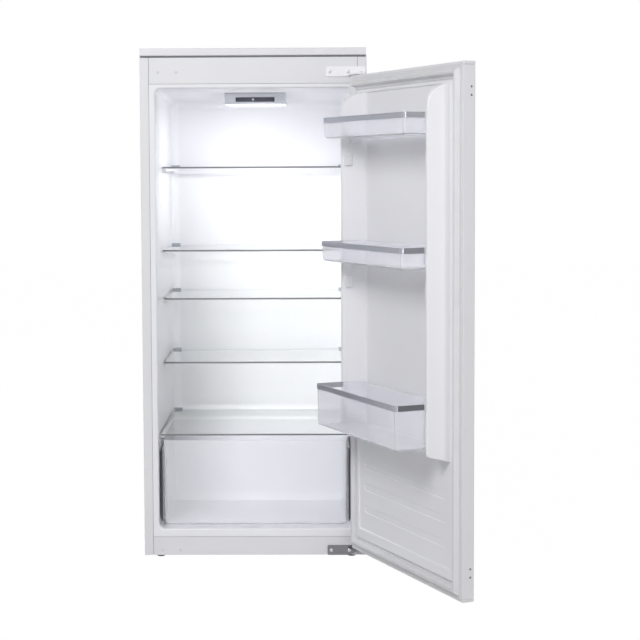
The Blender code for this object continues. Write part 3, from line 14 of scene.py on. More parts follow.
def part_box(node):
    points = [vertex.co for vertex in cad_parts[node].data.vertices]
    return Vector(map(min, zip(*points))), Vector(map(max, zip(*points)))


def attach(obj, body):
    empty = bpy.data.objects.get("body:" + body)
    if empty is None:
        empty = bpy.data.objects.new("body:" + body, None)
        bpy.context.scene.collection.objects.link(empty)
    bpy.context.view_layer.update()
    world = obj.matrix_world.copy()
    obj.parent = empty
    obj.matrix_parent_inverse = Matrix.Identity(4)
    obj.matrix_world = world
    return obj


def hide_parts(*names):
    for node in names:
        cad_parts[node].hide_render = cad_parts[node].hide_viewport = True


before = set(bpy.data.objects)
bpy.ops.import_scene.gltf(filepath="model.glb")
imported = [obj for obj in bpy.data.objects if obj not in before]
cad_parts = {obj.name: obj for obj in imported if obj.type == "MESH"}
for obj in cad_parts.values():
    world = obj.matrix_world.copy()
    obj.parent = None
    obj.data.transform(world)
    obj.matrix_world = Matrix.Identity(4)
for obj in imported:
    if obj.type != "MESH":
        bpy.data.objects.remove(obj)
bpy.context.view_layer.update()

# %% [markdown]
# The photograph was taken from nearly straight ahead with a long lens, 3.8 m away, a little
# above half the cabinet's height. The lens is shifted because the photograph was cropped. Seen
# like this the cabinet's front is almost flat on, and the open door runs towards the viewer at
# the right.

# %% Camera
CAMERA_AT = (0.1343881, -4.0379114, 0.9256021)
CAMERA_TURN = (1.50289547, 0.00488871, 0.01246754)
FOCAL_LENGTH = 88.917
SENSOR_WIDTH = 36
LENS_SHIFT = (0.046875, -0.0625)


def placed(name, data):
    """A new object in the scene."""
    made = bpy.data.objects.new(name, data)
    bpy.context.scene.collection.objects.link(made)
    return made


lens = bpy.data.cameras.new("camera")
lens.sensor_width = SENSOR_WIDTH
lens.lens = FOCAL_LENGTH
lens.shift_x, lens.shift_y = LENS_SHIFT
camera = placed("camera", lens)
camera.location = CAMERA_AT
camera.rotation_euler = CAMERA_TURN
bpy.context.scene.camera = camera
bpy.context.scene.view_settings.view_transform = "Standard"
print("camera at", CAMERA_AT, "lens", FOCAL_LENGTH)

# %% [markdown]
# Every finish is built from nodes, and each needs the same small act: make a node, set it and
# wire it. One function does that for any kind of node. Colours are picked as sRGB hex values,
# as on a paint chart, and one function turns them to the linear values that shaders use.

# %% Colour and nodes
def colour(code):
    """A paint chart's hex value as linear colour."""
    parts = [int(code[place:place + 2], 16) / 255 for place in (1, 3, 5)]
    linear = [part / 12.92 if part <= 0.04045 else ((part + 0.055) / 1.055) ** 2.4 for part in parts]
    return (*linear, 1.0)


def add_node(tree, kind, settings=None, inputs=None):
    """Add a node with its settings, and link or set its inputs."""
    made = tree.nodes.new(kind)
    for name, value in (settings or {}).items():
        setattr(made, name, value)
    for name, value in (inputs or {}).items():
        if isinstance(value, bpy.types.NodeSocket):
            tree.links.new(value, made.inputs[name])
        else:
            made.inputs[name].default_value = value
    return made


print("mid grey as linear light:", colour("#808080")[0])

# %% [markdown]
# No real surface is one flat colour. Each finish wanders between two close tones, its gloss
# drifts between two values, and its relief has a real depth. A wide pattern leads the tone,
# and a fine one leads the gloss and the relief. Both are sized in metres on the object, and a
# pattern that would be finer than the picture can show is drawn a little coarser than life.

# %% The recipe for a finish
QUIET, BUSY = 0.3, 0.7


def surface(name, tones, gloss, wide, fine, depth, traits, stretch=(1, 1, 1), cells=False):
    """A material with two tones, a range of roughness, and a relief of a depth in metres."""
    made = bpy.data.materials.new(name)
    made.use_nodes = True
    tree = made.node_tree
    tree.nodes.clear()
    spot = add_node(tree, "ShaderNodeTexCoord").outputs["Object"]
    drawn = add_node(tree, "ShaderNodeMapping", inputs={"Vector": spot, "Scale": stretch}).outputs[0]
    kind = "ShaderNodeTexVoronoi" if cells else "ShaderNodeTexNoise"
    cloud = add_node(tree, kind, inputs={"Vector": drawn, "Scale": 1 / wide}).outputs["Color"]
    grain = add_node(tree, "ShaderNodeTexNoise", inputs={"Vector": drawn, "Scale": 1 / fine}).outputs[0]
    limits = {"From Min": QUIET, "From Max": BUSY}
    share = add_node(tree, "ShaderNodeMapRange", inputs={"Value": cloud, **limits}).outputs[0]
    pair = {0: share, 6: colour(tones[0]), 7: colour(tones[1])}
    tone = add_node(tree, "ShaderNodeMix", {"data_type": "RGBA"}, pair).outputs[2]
    drift = {"Value": grain, **limits, "To Min": gloss[0], "To Max": gloss[1]}
    rough = add_node(tree, "ShaderNodeMapRange", inputs=drift).outputs[0]
    bump = add_node(tree, "ShaderNodeBump", inputs={"Height": grain, "Distance": depth}).outputs[0]
    look = {"Base Color": tone, "Roughness": rough, "Normal": bump, **traits}
    shader = add_node(tree, "ShaderNodeBsdfPrincipled", inputs=look).outputs[0]
    add_node(tree, "ShaderNodeOutputMaterial", inputs={"Surface": shader})
    return made


print("patterns run between", QUIET, "and", BUSY)

# %% [markdown]
# White coil-coated steel covers the cabinet and the door. Its polyester lacquer is baked on, so
# it has a satin gloss and a faint orange peel with waves a few millimetres long. The second
# white is the liner: a sheet of high-impact polystyrene drawn over a mould while hot. It is
# cooler and glossier, and its gloss drifts slowly where the sheet was stretched. Moulded
# parts have the fine grain that spark erosion leaves on a mould. Each pattern is written as the
# width of its clouds, the width of its grain and the depth of its relief, and then the traits
# of the material itself.

# %% Whites and moulded plastics
PEEL = (0.150, 0.006, 0.000012, {"IOR": 1.5, "Specular IOR Level": 0.45})
DRAWN = (0.300, 0.045, 0.00004, {"IOR": 1.59, "Specular IOR Level": 0.4})
SPARK = (0.060, 0.0012, 0.00002, {"IOR": 1.54, "Specular IOR Level": 0.4})

CABINET_LACQUER = surface("lacquered_steel_white", ("#E3E3E7", "#E6E6E9"), (0.32, 0.37), *PEEL)
DOOR_LACQUER = surface("lacquered_steel_door", ("#E7E7EB", "#EAEAEE"), (0.32, 0.37), *PEEL)
BRACKET_LACQUER = surface("lacquered_bracket_white", ("#F5F5F8", "#F9F9FB"), (0.26, 0.32), *PEEL)
LINER_SHEET = surface("drawn_polystyrene_liner", ("#EEEEF2", "#F0F0F4"), (0.28, 0.32), *DRAWN)
DOOR_SHEET = surface("drawn_polystyrene_door", ("#EAEAEE", "#ECECF0"), (0.30, 0.34), *DRAWN)
WHITE_ABS = surface("moulded_abs_white", ("#E3E3E7", "#E7E7EB"), (0.37, 0.47), *SPARK)
PLUG_WHITE = surface("moulded_plug_white", ("#D4D4D9", "#D9D9DE"), (0.34, 0.42), *SPARK)
HOUSING_GREY = surface("moulded_abs_grey", ("#E2E4EC", "#E7E9F0"), (0.36, 0.44), *SPARK)
STOP_GREY = surface("moulded_stop_grey", ("#A7ABB5", "#B1B5BE"), (0.40, 0.50), *SPARK)
# The guides' dark noses are painted shade for the deep gap beside the drawer.
GUIDE_NOSE_SHADE = surface("moulded_guide_dark", ("#3C3D45", "#44454D"), (0.45, 0.55), *SPARK)
BLACK_NYLON = surface("moulded_nylon_black", ("#151517", "#1D1D20"), (0.50, 0.60), *SPARK)
GREY_NYLON = surface("moulded_nylon_grey", ("#77787D", "#828388"), (0.50, 0.60), *SPARK)
print("finishes so far:", len(bpy.data.materials))

# %% [markdown]
# The soft and the clear plastics come next. The gasket is plasticised PVC, matt and a little
# warm. The bins and the drawer are clear polystyrene: light goes through them, so they are
# told apart only by their edges and by a veil of faint haze. Their index is set low, because
# light should cross the thin walls nearly straight. Glass for shelves has iron in it, which
# leaves its face clear and turns its long edges grey-green. Lamps shine through all of them,
# where a thin pane would otherwise cast a solid shadow.

# %% Gasket, clear polystyrene and glass
THIN_INDEX = 1.25
GLASS_INDEX = 1.5
BIN_CLARITY = 0.80
DRAWER_CLARITY = 0.76
FLOOR_CLARITY = 0.45
DRAG = (0.040, 0.0025, 0.000015, {"IOR": 1.53, "Specular IOR Level": 0.3})
FLOW = (("#F7F7FA", "#FAFAFC"), (0.05, 0.09), 0.060, 0.025, 0.00003)
TEMPER = (("#FBFDFC", "#FDFEFD"), (0.0, 0.02), 0.150, 0.045, 0.00002)
WHEEL = (0.040, 0.0008, 0.00001, {"IOR": GLASS_INDEX})


def laid_over(made, share, other):
    """Lay another shader over a finish, by a share."""
    tree = made.node_tree
    ends = {node.type: node for node in tree.nodes}
    pair = {0: share, 1: ends["BSDF_PRINCIPLED"].outputs[0], 2: other}
    both = add_node(tree, "ShaderNodeMixShader", inputs=pair).outputs[0]
    tree.links.new(both, ends["OUTPUT_MATERIAL"].inputs["Surface"])
    return made


def clear_finish(name, look, index, clarity, shade):
    """A finish that light crosses, and that takes a shade off the lamps behind it."""
    made = surface(name, *look, {"IOR": index, "Transmission Weight": clarity})
    tree = made.node_tree
    lamp_ray = add_node(tree, "ShaderNodeLightPath").outputs["Is Shadow Ray"]
    veil = add_node(tree, "ShaderNodeBsdfTransparent", inputs={"Color": colour(shade)}).outputs[0]
    return laid_over(made, lamp_ray, veil)


GASKET_PVC = surface("soft_pvc_gasket", ("#DADADD", "#E0E0E3"), (0.52, 0.64), *DRAG)
CLEAR_BIN = clear_finish("clear_polystyrene_bin", FLOW, THIN_INDEX, BIN_CLARITY, "#B4B5BB")
BIN_FLOOR = clear_finish("hazy_polystyrene_floor", FLOW, THIN_INDEX, FLOOR_CLARITY, "#3A3C42")
CLEAR_DRAWER = clear_finish("clear_polystyrene_drawer", FLOW, THIN_INDEX, DRAWER_CLARITY, "#EEEFF1")
FLOAT_GLASS = clear_finish("toughened_float_glass", TEMPER, GLASS_INDEX, 1.0, "#F7F8F7")
# The glass edge's opaque dark grey is painted shade for the darkening seen along the edge.
GLASS_EDGE_SHADE = surface("ground_glass_edge_painted_shade", ("#77777A", "#828285"), (0.24, 0.34), *WHEEL)
print("finishes so far:", len(bpy.data.materials))

# %% [markdown]
# Metals follow. Zinc plating is blotchy because each crystal takes the bath differently, a
# galvanised sheet shows larger spangles, and a foil-stamped strip carries brush lines along
# its length. The compressor and the condenser are dipped in black enamel. A metal keeps the
# default index, and its colour is the colour of its reflections.

# %% Metals and enamel
METAL = {"Metallic": 1.0}
PLATE = (0.0035, 0.002, 0.00001, METAL)
FIXING = (0.002, 0.001, 0.00001, METAL)
SPANGLE = (0.014, 0.003, 0.00001, METAL)
BRUSH = (0.004, 0.001, 0.00001, {"Metallic": 0.85}, (1, 1, 12))
DIP = (0.030, 0.012, 0.00005, {"IOR": 1.5})
# Painted shade and reflection for the ends of the bins' silver strips, darker for each lower bin.
END_SHADE_TONES = {
    "top": ("#9A9BA1", "#A4A5AA"),
    "middle": ("#7F8086", "#8A8B90"),
    "lower": ("#5F6066", "#6A6B70"),
}
ZINC_PLATE = surface("zinc_plated_steel", ("#6E6E72", "#828286"), (0.28, 0.42), *PLATE)
ZINC_SCREW = surface("zinc_plated_screw", ("#BEBEC1", "#CCCCCF"), (0.22, 0.34), *FIXING, cells=True)
GALVANISED = surface("galvanised_sheet", ("#B0B3B7", "#C2C5C8"), (0.36, 0.48), *SPANGLE, cells=True)
ALUMINIUM = surface("mill_aluminium", ("#C6C8CB", "#D0D2D4"), (0.30, 0.42), *SPANGLE)
COPPER = surface("drawn_copper", ("#B8734C", "#C98660"), (0.24, 0.36), *PLATE)
TRIM_FOIL = surface("stamped_silver_foil", ("#A1A4AB", "#AEB0B6"), (0.20, 0.30), *BRUSH)
TRIM_END_SHADES = {}
for which, tones in END_SHADE_TONES.items():
    TRIM_END_SHADES[which] = surface("moulded_clip_" + which, tones, (0.30, 0.40), *SPARK)
BLACK_ENAMEL = surface("black_enamel", ("#161617", "#212123"), (0.30, 0.46), *DIP)
print("finishes so far:", len(bpy.data.materials))

# %% [markdown]
# The control panel has a smoked acrylic window and below it a frosted lens with the lamp
# behind it. The lens glows, and its light makes the upper shelves the brightest place on the
# object. The foam behind the sheets is seen only through seams, which a grey seal closes. The
# same grey is also painted shadow under the top trim strip.

# %% Window, lamp lens, foam, seal and painted shadow
LAMP_GLOW = 3.5
LIT_LENS = {"IOR": 1.58, "Emission Color": colour("#F8FAFF"), "Emission Strength": LAMP_GLOW}
TINT = (0.035, 0.035, 0.000005, {"IOR": 1.49})
FROST = (0.012, 0.003, 0.00002, LIT_LENS)
PORES = (0.012, 0.002, 0.0003, {"IOR": 1.45})
SMOKED_WINDOW = surface("smoked_acrylic", ("#3E3F4D", "#565866"), (0.08, 0.14), *TINT)
LAMP_LENS = surface("frosted_polycarbonate", ("#F2F4F8", "#F6F8FC"), (0.35, 0.50), *FROST)
FOAM = surface("polyurethane_foam", ("#D8C88E", "#E3D6A2"), (0.80, 0.95), *PORES)
# This grey closes the foam's seams, and the same grey is painted shadow under the top trim strip.
SEAL_AND_PAINTED_SHADOW = surface("grey_seam_seal_and_painted_shadow", ("#77787E", "#808187"), (0.70, 0.85), *PORES)
print("finishes:", len(bpy.data.materials))

# %% [markdown]
# Soft light comes from a white surround and from large lamps. The camera, glossy and
# transmitted rays see the surround as plain white, which is the photograph's background, while
# the light that it casts is weaker. A pale floor catches the shadow.

# %% Light and floor
SURROUND_LIGHT = 0.266
FLOOR_WHITE = 0.96
FLOOR_GLOW = 1.03
FLOOR_LEVEL = -0.0083
FLOOR_HALF = 12.0
FLOOR_PAINT = (0.5, 0.01, 0.0001, {"Specular IOR Level": 0.0})
CABINET_MIDDLE = (0.1, -0.2, 0.6)
KEY_AT, KEY_SIZE, KEY_POWER = (-1.2, -3.2, 2.6), (1.4, 1.4), 70
FRONT_AT, FRONT_SIZE, FRONT_POWER = (2.0, -4.25, 0.9), (1.6, 1.6), 32


def seen_rays(tree):
    """One for rays that show the background: to the camera, in gloss or through glass."""
    path = add_node(tree, "ShaderNodeLightPath").outputs
    seen = path["Is Camera Ray"]
    for other in ("Is Glossy Ray", "Is Transmission Ray"):
        pair = {0: seen, 1: path[other]}
        seen = add_node(tree, "ShaderNodeMath", {"operation": "MAXIMUM"}, pair).outputs[0]
    return seen


def surround():
    """A white world whose cast light has its own strength."""
    world = bpy.data.worlds.new("surround")
    bpy.context.scene.world = world
    world.use_nodes = True
    tree = world.node_tree
    tree.nodes.clear()
    spread = {"Value": seen_rays(tree), "To Min": SURROUND_LIGHT, "To Max": 1.0}
    strength = add_node(tree, "ShaderNodeMapRange", inputs=spread).outputs["Result"]
    white = {"Color": (1.0, 1.0, 1.0, 1.0), "Strength": strength}
    back = add_node(tree, "ShaderNodeBackground", inputs=white).outputs[0]
    add_node(tree, "ShaderNodeOutputWorld", inputs={"Surface": back})


def floor_finish():
    """Matt white paint that the camera sees as nearly pure white, with the shadow left in."""
    made = surface("white_floor_paint", ("#D2D2D2", "#D6D6D6"), (0.85, 0.95), *FLOOR_PAINT)
    tree = made.node_tree
    white = add_node(tree, "ShaderNodeEmission", inputs={"Strength": FLOOR_GLOW}).outputs[0]
    pair = {0: seen_rays(tree), 1: FLOOR_WHITE}
    share = add_node(tree, "ShaderNodeMath", {"operation": "MULTIPLY"}, pair).outputs[0]
    return laid_over(made, share, white)


def soft_lamp(name, at, towards, size, power):
    """A large square lamp aimed at a point."""
    data = bpy.data.lights.new(name, "AREA")
    data.shape = "RECTANGLE"
    data.size, data.size_y = size
    data.energy = power
    lamp = placed(name, data)
    lamp.location = at
    aim = Vector(towards) - Vector(at)
    lamp.rotation_euler = aim.to_track_quat("-Z", "Y").to_euler()
    return lamp


def from_bmesh(name, bm):
    """An object from a bmesh."""
    mesh = bpy.data.meshes.new(name)
    bm.to_mesh(mesh)
    bm.free()
    return placed(name, mesh)


surround()
bm = bmesh.new()
ground_at = Matrix.Translation((0, 0, FLOOR_LEVEL))
bmesh.ops.create_grid(bm, x_segments=8, y_segments=8, size=FLOOR_HALF, matrix=ground_at)
studio_floor = from_bmesh("floor", bm)
studio_floor.data.materials.append(floor_finish())
soft_lamp("key_lamp", KEY_AT, CABINET_MIDDLE, KEY_SIZE, KEY_POWER)
soft_lamp("front_lamp", FRONT_AT, CABINET_MIDDLE, FRONT_SIZE, FRONT_POWER)
print("lamps:", KEY_POWER, "W and", FRONT_POWER, "W")

# %% [markdown]
# Most pieces start as an outline with rounded corners, a stack of rings or a turned profile, and
# each of these is drawn by a small function. A skin is woven between rings of equal counts.

# %% Outlines, rings and turned shapes
NEARLY_STRAIGHT = radians(89.7)
ARM_SHARE = 0.49


def arcs(corners, steps=5):
    """Turn (x, y, radius) corners into an outline with rounded corners."""
    points = []
    for index, (x, y, radius) in enumerate(corners):
        if not radius:
            points.append((x, y))
            continue
        here = Vector((x, y))
        before = Vector(corners[index - 1][:2]) - here
        after = Vector(corners[(index + 1) % len(corners)][:2]) - here
        half = before.angle(after) / 2
        if half > NEARLY_STRAIGHT:
            one, two = [min(radius, ARM_SHARE * arm.length) * arm.normalized() for arm in (before, after)]
            points += [tuple(here + one.lerp(two, step / steps)) for step in range(steps + 1)]
            continue
        reach = min(radius / tan(half), ARM_SHARE * before.length, ARM_SHARE * after.length)
        before.normalize()
        after.normalize()
        centre = here + (before + after).normalized() * reach * tan(half) / sin(half)
        start = here + before * reach - centre
        turn_by = start.angle_signed(here + after * reach - centre)
        for step in range(steps + 1):
            points.append(tuple(centre + Matrix.Rotation(-turn_by * step / steps, 2) @ start))
    return points


def rounded(left, low, right, high, corner, steps=5):
    """A rectangle with four equal round corners, as an outline."""
    places = ((left, low), (right, low), (right, high), (left, high))
    return arcs([(*place, corner) for place in places], steps)


def woven(bm, rows, closed=True):
    """Faces between rows of equal counts."""
    count = len(rows[0])
    for row, following in zip(rows, rows[1:]):
        for index in range(count if closed else count - 1):
            after = (index + 1) % count
            bm.faces.new((row[index], row[after], following[after], following[index]))


def shown(name, bm):
    """An object from a bmesh, with its faces turned outwards."""
    bmesh.ops.recalc_face_normals(bm, faces=bm.faces)
    return from_bmesh(name, bm)


def lofted(name, rings, ends=True):
    """A skin through rings of equal counts, with its first and last ring filled."""
    bm = bmesh.new()
    rows = [[bm.verts.new(point) for point in ring] for ring in rings]
    woven(bm, rows)
    if ends:
        bm.faces.new(rows[0])
        bm.faces.new(rows[-1])
    return shown(name, bm)


def spot_on(axis, across, up, along):
    """A place from two flat coordinates and the distance along an axis."""
    order = {"X": (along, across, up), "Y": (across, along, up), "Z": (across, up, along)}
    return Vector(order[axis])


def spun(name, profile, centre, axis="Z", sides=32, tube=False):
    """A turned piece: (radius, height) points swept about an axis through centre."""
    turns = [2 * pi * side / sides for side in range(sides)]
    rings = []
    for radius, height in profile:
        flat = [(radius * cos(angle), radius * sin(angle)) for angle in turns]
        rings.append([Vector(centre) + spot_on(axis, *point, height) for point in flat])
    return lofted(name, rings + rings[:1], ends=False) if tube else lofted(name, rings)


print("arms of a corner are rounded over at most", ARM_SHARE, "of their length")

# %% [markdown]
# Most pieces are made the way a workshop makes them: a plate is cut to an outline, shapes are
# joined or cut away, and sharp edges are rounded. These steps stack up as modifiers, and the
# last step turns the result into one plain mesh. Edges sharper than a set angle stay crisp,
# and flat faces keep flat shading beside a rounding.

# %% Workshop steps
CREASE = radians(32)
SAME_SPOT = 0.000001
WELD = 0.00001


def block(name, low, high):
    """A box between two corners."""
    bm = bmesh.new()
    corners = bmesh.ops.create_cube(bm, size=1.0)["verts"]
    low, high = Vector(low), Vector(high)
    bmesh.ops.scale(bm, vec=high - low, verts=corners)
    bmesh.ops.translate(bm, vec=(high + low) / 2, verts=corners)
    return shown(name, bm)


def cut_plate(name, outline, low, high, axis):
    """A plate of an outline, from low to high along an axis."""
    return lofted(name, [[spot_on(axis, *point, level) for point in outline] for level in (low, high)])


def carve(thing, tool, operation="DIFFERENCE"):
    """Cut a shape away, or join it with UNION."""
    step = thing.modifiers.new(tool.name, "BOOLEAN")
    step.object = tool
    step.operation = operation
    step.solver = "EXACT"


def ease(thing, radius, segments=3, degrees=40):
    """Round the sharp edges."""
    edge = thing.modifiers.new("ease", "BEVEL")
    edge.width = radius
    edge.segments = segments
    edge.limit_method = "ANGLE"
    edge.angle_limit = radians(degrees)
    edge.use_clamp_overlap = True
    return thing


def baked(thing):
    """Turn an object and its modifiers into one plain mesh."""
    bpy.context.view_layer.update()
    ready = thing.evaluated_get(bpy.context.evaluated_depsgraph_get())
    mesh = bpy.data.meshes.new_from_object(ready)
    thing.modifiers.clear()
    thing.data = mesh
    return thing


def settle(thing):
    """Bake an object, clear its tools away, and keep its crisp edges crisp."""
    tools = [step.object for step in thing.modifiers if step.type == "BOOLEAN"]
    mesh = baked(thing).data
    for tool in tools:
        bpy.data.objects.remove(tool)
    bm = bmesh.new()
    bm.from_mesh(mesh)
    bmesh.ops.remove_doubles(bm, verts=bm.verts, dist=SAME_SPOT)
    bmesh.ops.dissolve_degenerate(bm, edges=bm.edges, dist=SAME_SPOT / 2)
    for face in bm.faces:
        face.smooth = True
    for edge in bm.edges:
        edge.smooth = len(edge.link_faces) == 2 and edge.calc_face_angle(0.0) < CREASE
    bm.to_mesh(mesh)
    bm.free()
    weigh = thing.modifiers.new("weigh", "WEIGHTED_NORMAL")
    weigh.keep_sharp = True
    return baked(thing)


def fit(thing, body, finish, nodes=()):
    """Give a finished piece its look and body, and hide the CAD nodes that it stands for."""
    thing.data.materials.clear()
    for look in finish if isinstance(finish, tuple) else (finish,):
        thing.data.materials.append(look)
    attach(thing, body)
    if nodes:
        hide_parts(*nodes)
    return thing


def paint(thing, rule):
    """Give the second finish to the faces that a rule picks."""
    for face in thing.data.polygons:
        face.material_index = int(rule(face))


print("edges stay crisp from", round(CREASE, 3), "radians on")

# %% [markdown]
# CAD nodes whose shape is right stay as they are and only take a finer finish.

# %% Finishes for the CAD nodes
NODE_FINISHES = {
    "white_painted_steel": CABINET_LACQUER,
    "liner_polystyrene": LINER_SHEET,
    "white_abs": WHITE_ABS,
    "polyurethane_foam": FOAM,
    "gasket_pvc": GASKET_PVC,
    "clear_polystyrene": CLEAR_BIN,
    "toughened_glass": FLOAT_GLASS,
    "silver_trim": TRIM_FOIL,
    "grey_stop_plastic": STOP_GREY,
    "dark_guide_plastic": GUIDE_NOSE_SHADE,
    "smoked_window": SMOKED_WINDOW,
    "lamp_lens": LAMP_LENS,
    "zinc_plated_steel": ZINC_PLATE,
    "black_enamelled_steel": BLACK_ENAMEL,
    "aluminium": ALUMINIUM,
    "copper": COPPER,
    "galvanised_sheet": GALVANISED,
    "black_plastic": BLACK_NYLON,
}
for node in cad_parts.values():
    for place in node.material_slots:
        place.material = NODE_FINISHES[place.material.name.split(".")[0]]


def corners_of(node):
    """A CAD node's lowest and highest corners."""
    low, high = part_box(node)
    return Vector(low), Vector(high)


def middle_of(node):
    """The middle of a CAD node's box."""
    low, high = corners_of(node)
    return (low + high) / 2


SHELL_LOW, SHELL_HIGH = corners_of("side_panel_left")
HALF_WIDTH = -SHELL_LOW.x
FRONT, BACK = SHELL_LOW.y, SHELL_HIGH.y
CABINET_TOP = SHELL_HIGH.z
print("cabinet:", 2 * HALF_WIDTH, BACK - FRONT, CABINET_TOP)

# %% [markdown]
# The cabinet is bent from sheet, 1 mm thick. A press brake leaves a small radius along each
# fold, and that radius catches a line of light which a plain corner would not have. The side
# panels are cut as a folded outline and drawn up to the full height. The strip on top is an
# extruded plastic channel with a rounded nose, and it hides the gap to the furniture above.
# A thin grey strip under its nose is painted shadow: it draws the dark line that the nose casts on the
# front.

# %% Side panels, trim strip and its painted shadow
SHEET = 0.001
FOLD_RADIUS = 0.0022
NOSE_RADIUS = 0.003
SHEET_EASE = 0.0003
TRIM_WALL = 0.0015
# Sizes of the grey strip that is painted shadow under the trim strip's nose.
SHADOW_STRIP_DROP = 0.0038
SHADOW_STRIP_PROUD = 0.0006
SHADOW_STRIP_EASE = 0.0002

fold = [
    (-HALF_WIDTH, FRONT, FOLD_RADIUS),
    (SHELL_HIGH.x, FRONT, SHEET_EASE),
    (SHELL_HIGH.x, FRONT + SHEET, SHEET_EASE),
    (SHEET - HALF_WIDTH, FRONT + SHEET, FOLD_RADIUS - SHEET),
    (SHEET - HALF_WIDTH, BACK, SHEET_EASE),
    (-HALF_WIDTH, BACK, SHEET_EASE),
]
for side, name in ((1, "side_panel_left"), (-1, "side_panel_right")):
    plan = [(side * x, y) for x, y in arcs(fold)]
    panel = settle(cut_plate(name + "_folded", plan, 0, CABINET_TOP, "Z"))
    fit(panel, "cabinet", CABINET_LACQUER, (name,))

strip_low, strip_high = corners_of("top_trim_strip")
half_channel = [
    (strip_low.y, strip_low.z, NOSE_RADIUS),
    (strip_high.y, strip_low.z, SHEET_EASE),
    (strip_high.y, strip_low.z + TRIM_WALL, SHEET_EASE),
    (strip_low.y + TRIM_WALL, strip_low.z + TRIM_WALL, NOSE_RADIUS - TRIM_WALL),
]
both_heights = strip_low.z + strip_high.z
channel = half_channel + [(y, both_heights - z, radius) for y, z, radius in reversed(half_channel)]
strip = settle(cut_plate("trim_strip", arcs(channel), strip_low.x, strip_high.x, "X"))
fit(strip, "cabinet", WHITE_ABS, ("top_trim_strip",))

# The grey strip below is painted shadow, standing in for the shade that the trim strip's nose casts.
shadow_reach = HALF_WIDTH - FOLD_RADIUS
shadow_top = strip_low.z - SHEET_EASE
shadow_low = (-shadow_reach, FRONT - SHADOW_STRIP_PROUD, shadow_top - SHADOW_STRIP_DROP)
shadow_strip = block("trim_seal", shadow_low, (shadow_reach, FRONT - SHADOW_STRIP_EASE / 2, shadow_top))
fit(settle(ease(shadow_strip, SHADOW_STRIP_EASE, 1)), "cabinet", SEAL_AND_PAINTED_SHADOW)
print("strip nose at", strip_low.y, "seal's top at", shadow_top)

# %% [markdown]
# The rails are pressed sheets between the side panels, one above the door opening and one below
# it. Each has four holes: two for the hinge, and two at the left for a door hung on that side.

# %% Rails with their holes
SCREW_RADIUS = 0.0022
HOLE_RADIUS = 0.0025
RAIL_HALF = corners_of("top_rail")[1].x
COLUMNS = (middle_of("hinge_screw_top_1").x, middle_of("hinge_screw_top_2").x)
TOP_ROW = middle_of("hinge_screw_top_1").z
BOTTOM_ROW = middle_of("hinge_screw_bottom_1").z


def drill(name, radius, low, high, across, up, axis="Y", sides=24):
    """A round cutter along an axis."""
    return spun(name, [(radius, low), (radius, high)], spot_on(axis, across, up, 0), axis, sides)


for node, row in (("top_rail", TOP_ROW), ("bottom_rail", BOTTOM_ROW)):
    low, high = corners_of(node)
    plate = block(node + "_pressed", (-RAIL_HALF, FRONT, low.z), (RAIL_HALF, FRONT + SHEET, high.z))
    if high.y > FRONT + 2 * SHEET:
        fold_low = (-RAIL_HALF, FRONT + SHEET / 2, low.z)
        carve(plate, block(node + "_fold", fold_low, (RAIL_HALF, high.y, low.z + SHEET)), "UNION")
    for x in (*COLUMNS, *(-column for column in COLUMNS)):
        carve(plate, drill(node + "_hole", HOLE_RADIUS, FRONT - SHEET, FRONT + 2 * SHEET, x, row))
    ease(plate, SHEET_EASE, 2)
    fit(settle(plate), "cabinet", CABINET_LACQUER, (node,))
print("rail half", RAIL_HALF, "rows of holes at", TOP_ROW, BOTTOM_ROW)

# %% [markdown]
# The unused holes at the left are closed with white plugs, flat domes that clip into the sheet.
# They are the same shape four times, so Geometry Nodes put one plug on each of four points.

# %% Plugs for the unused holes
PLUG_RADIUS = 0.0036
PLUG_RISE = 0.0009


def repeat_at(name, spots, kit, turn=(0, 0, 0)):
    """Geometry Nodes that put a small piece on every point, as one plain mesh."""
    points = bpy.data.meshes.new(name)
    points.from_pydata([tuple(spot) for spot in spots], [], [])
    holder = placed(name, points)
    tree = bpy.data.node_groups.new(name + "_rule", "GeometryNodeTree")
    face = tree.interface
    face.new_socket("Geometry", in_out="INPUT", socket_type="NodeSocketGeometry")
    kit_in = face.new_socket("Kit", in_out="INPUT", socket_type="NodeSocketObject")
    turn_in = face.new_socket("Turn", in_out="INPUT", socket_type="NodeSocketVector")
    face.new_socket("Geometry", in_out="OUTPUT", socket_type="NodeSocketGeometry")
    given = add_node(tree, "NodeGroupInput").outputs
    piece = add_node(tree, "GeometryNodeObjectInfo", inputs={"Object": given["Kit"]}).outputs["Geometry"]
    plan = {"Points": given["Geometry"], "Instance": piece, "Rotation": given["Turn"]}
    put = add_node(tree, "GeometryNodeInstanceOnPoints", inputs=plan).outputs[0]
    real = add_node(tree, "GeometryNodeRealizeInstances", inputs={"Geometry": put}).outputs[0]
    look = {"Geometry": real, "Material": kit.data.materials[0]}
    done = add_node(tree, "GeometryNodeSetMaterial", inputs=look).outputs[0]
    add_node(tree, "NodeGroupOutput", inputs={"Geometry": done})
    rule = holder.modifiers.new("repeat", "NODES")
    rule.node_group = tree
    rule[kit_in.identifier] = kit
    rule[turn_in.identifier] = turn
    baked(holder)
    bpy.data.objects.remove(kit)
    return holder


def small_kit(name, profile, look, sides=20, cutters=()):
    """One turned copy at the origin, standing out along minus Y, for repeating."""
    made = spun(name, [(radius, -height) for radius, height in profile], (0, 0, 0), "Y", sides)
    for cutter in cutters:
        carve(made, cutter)
    settle(made)
    made.data.materials.append(look)
    return made


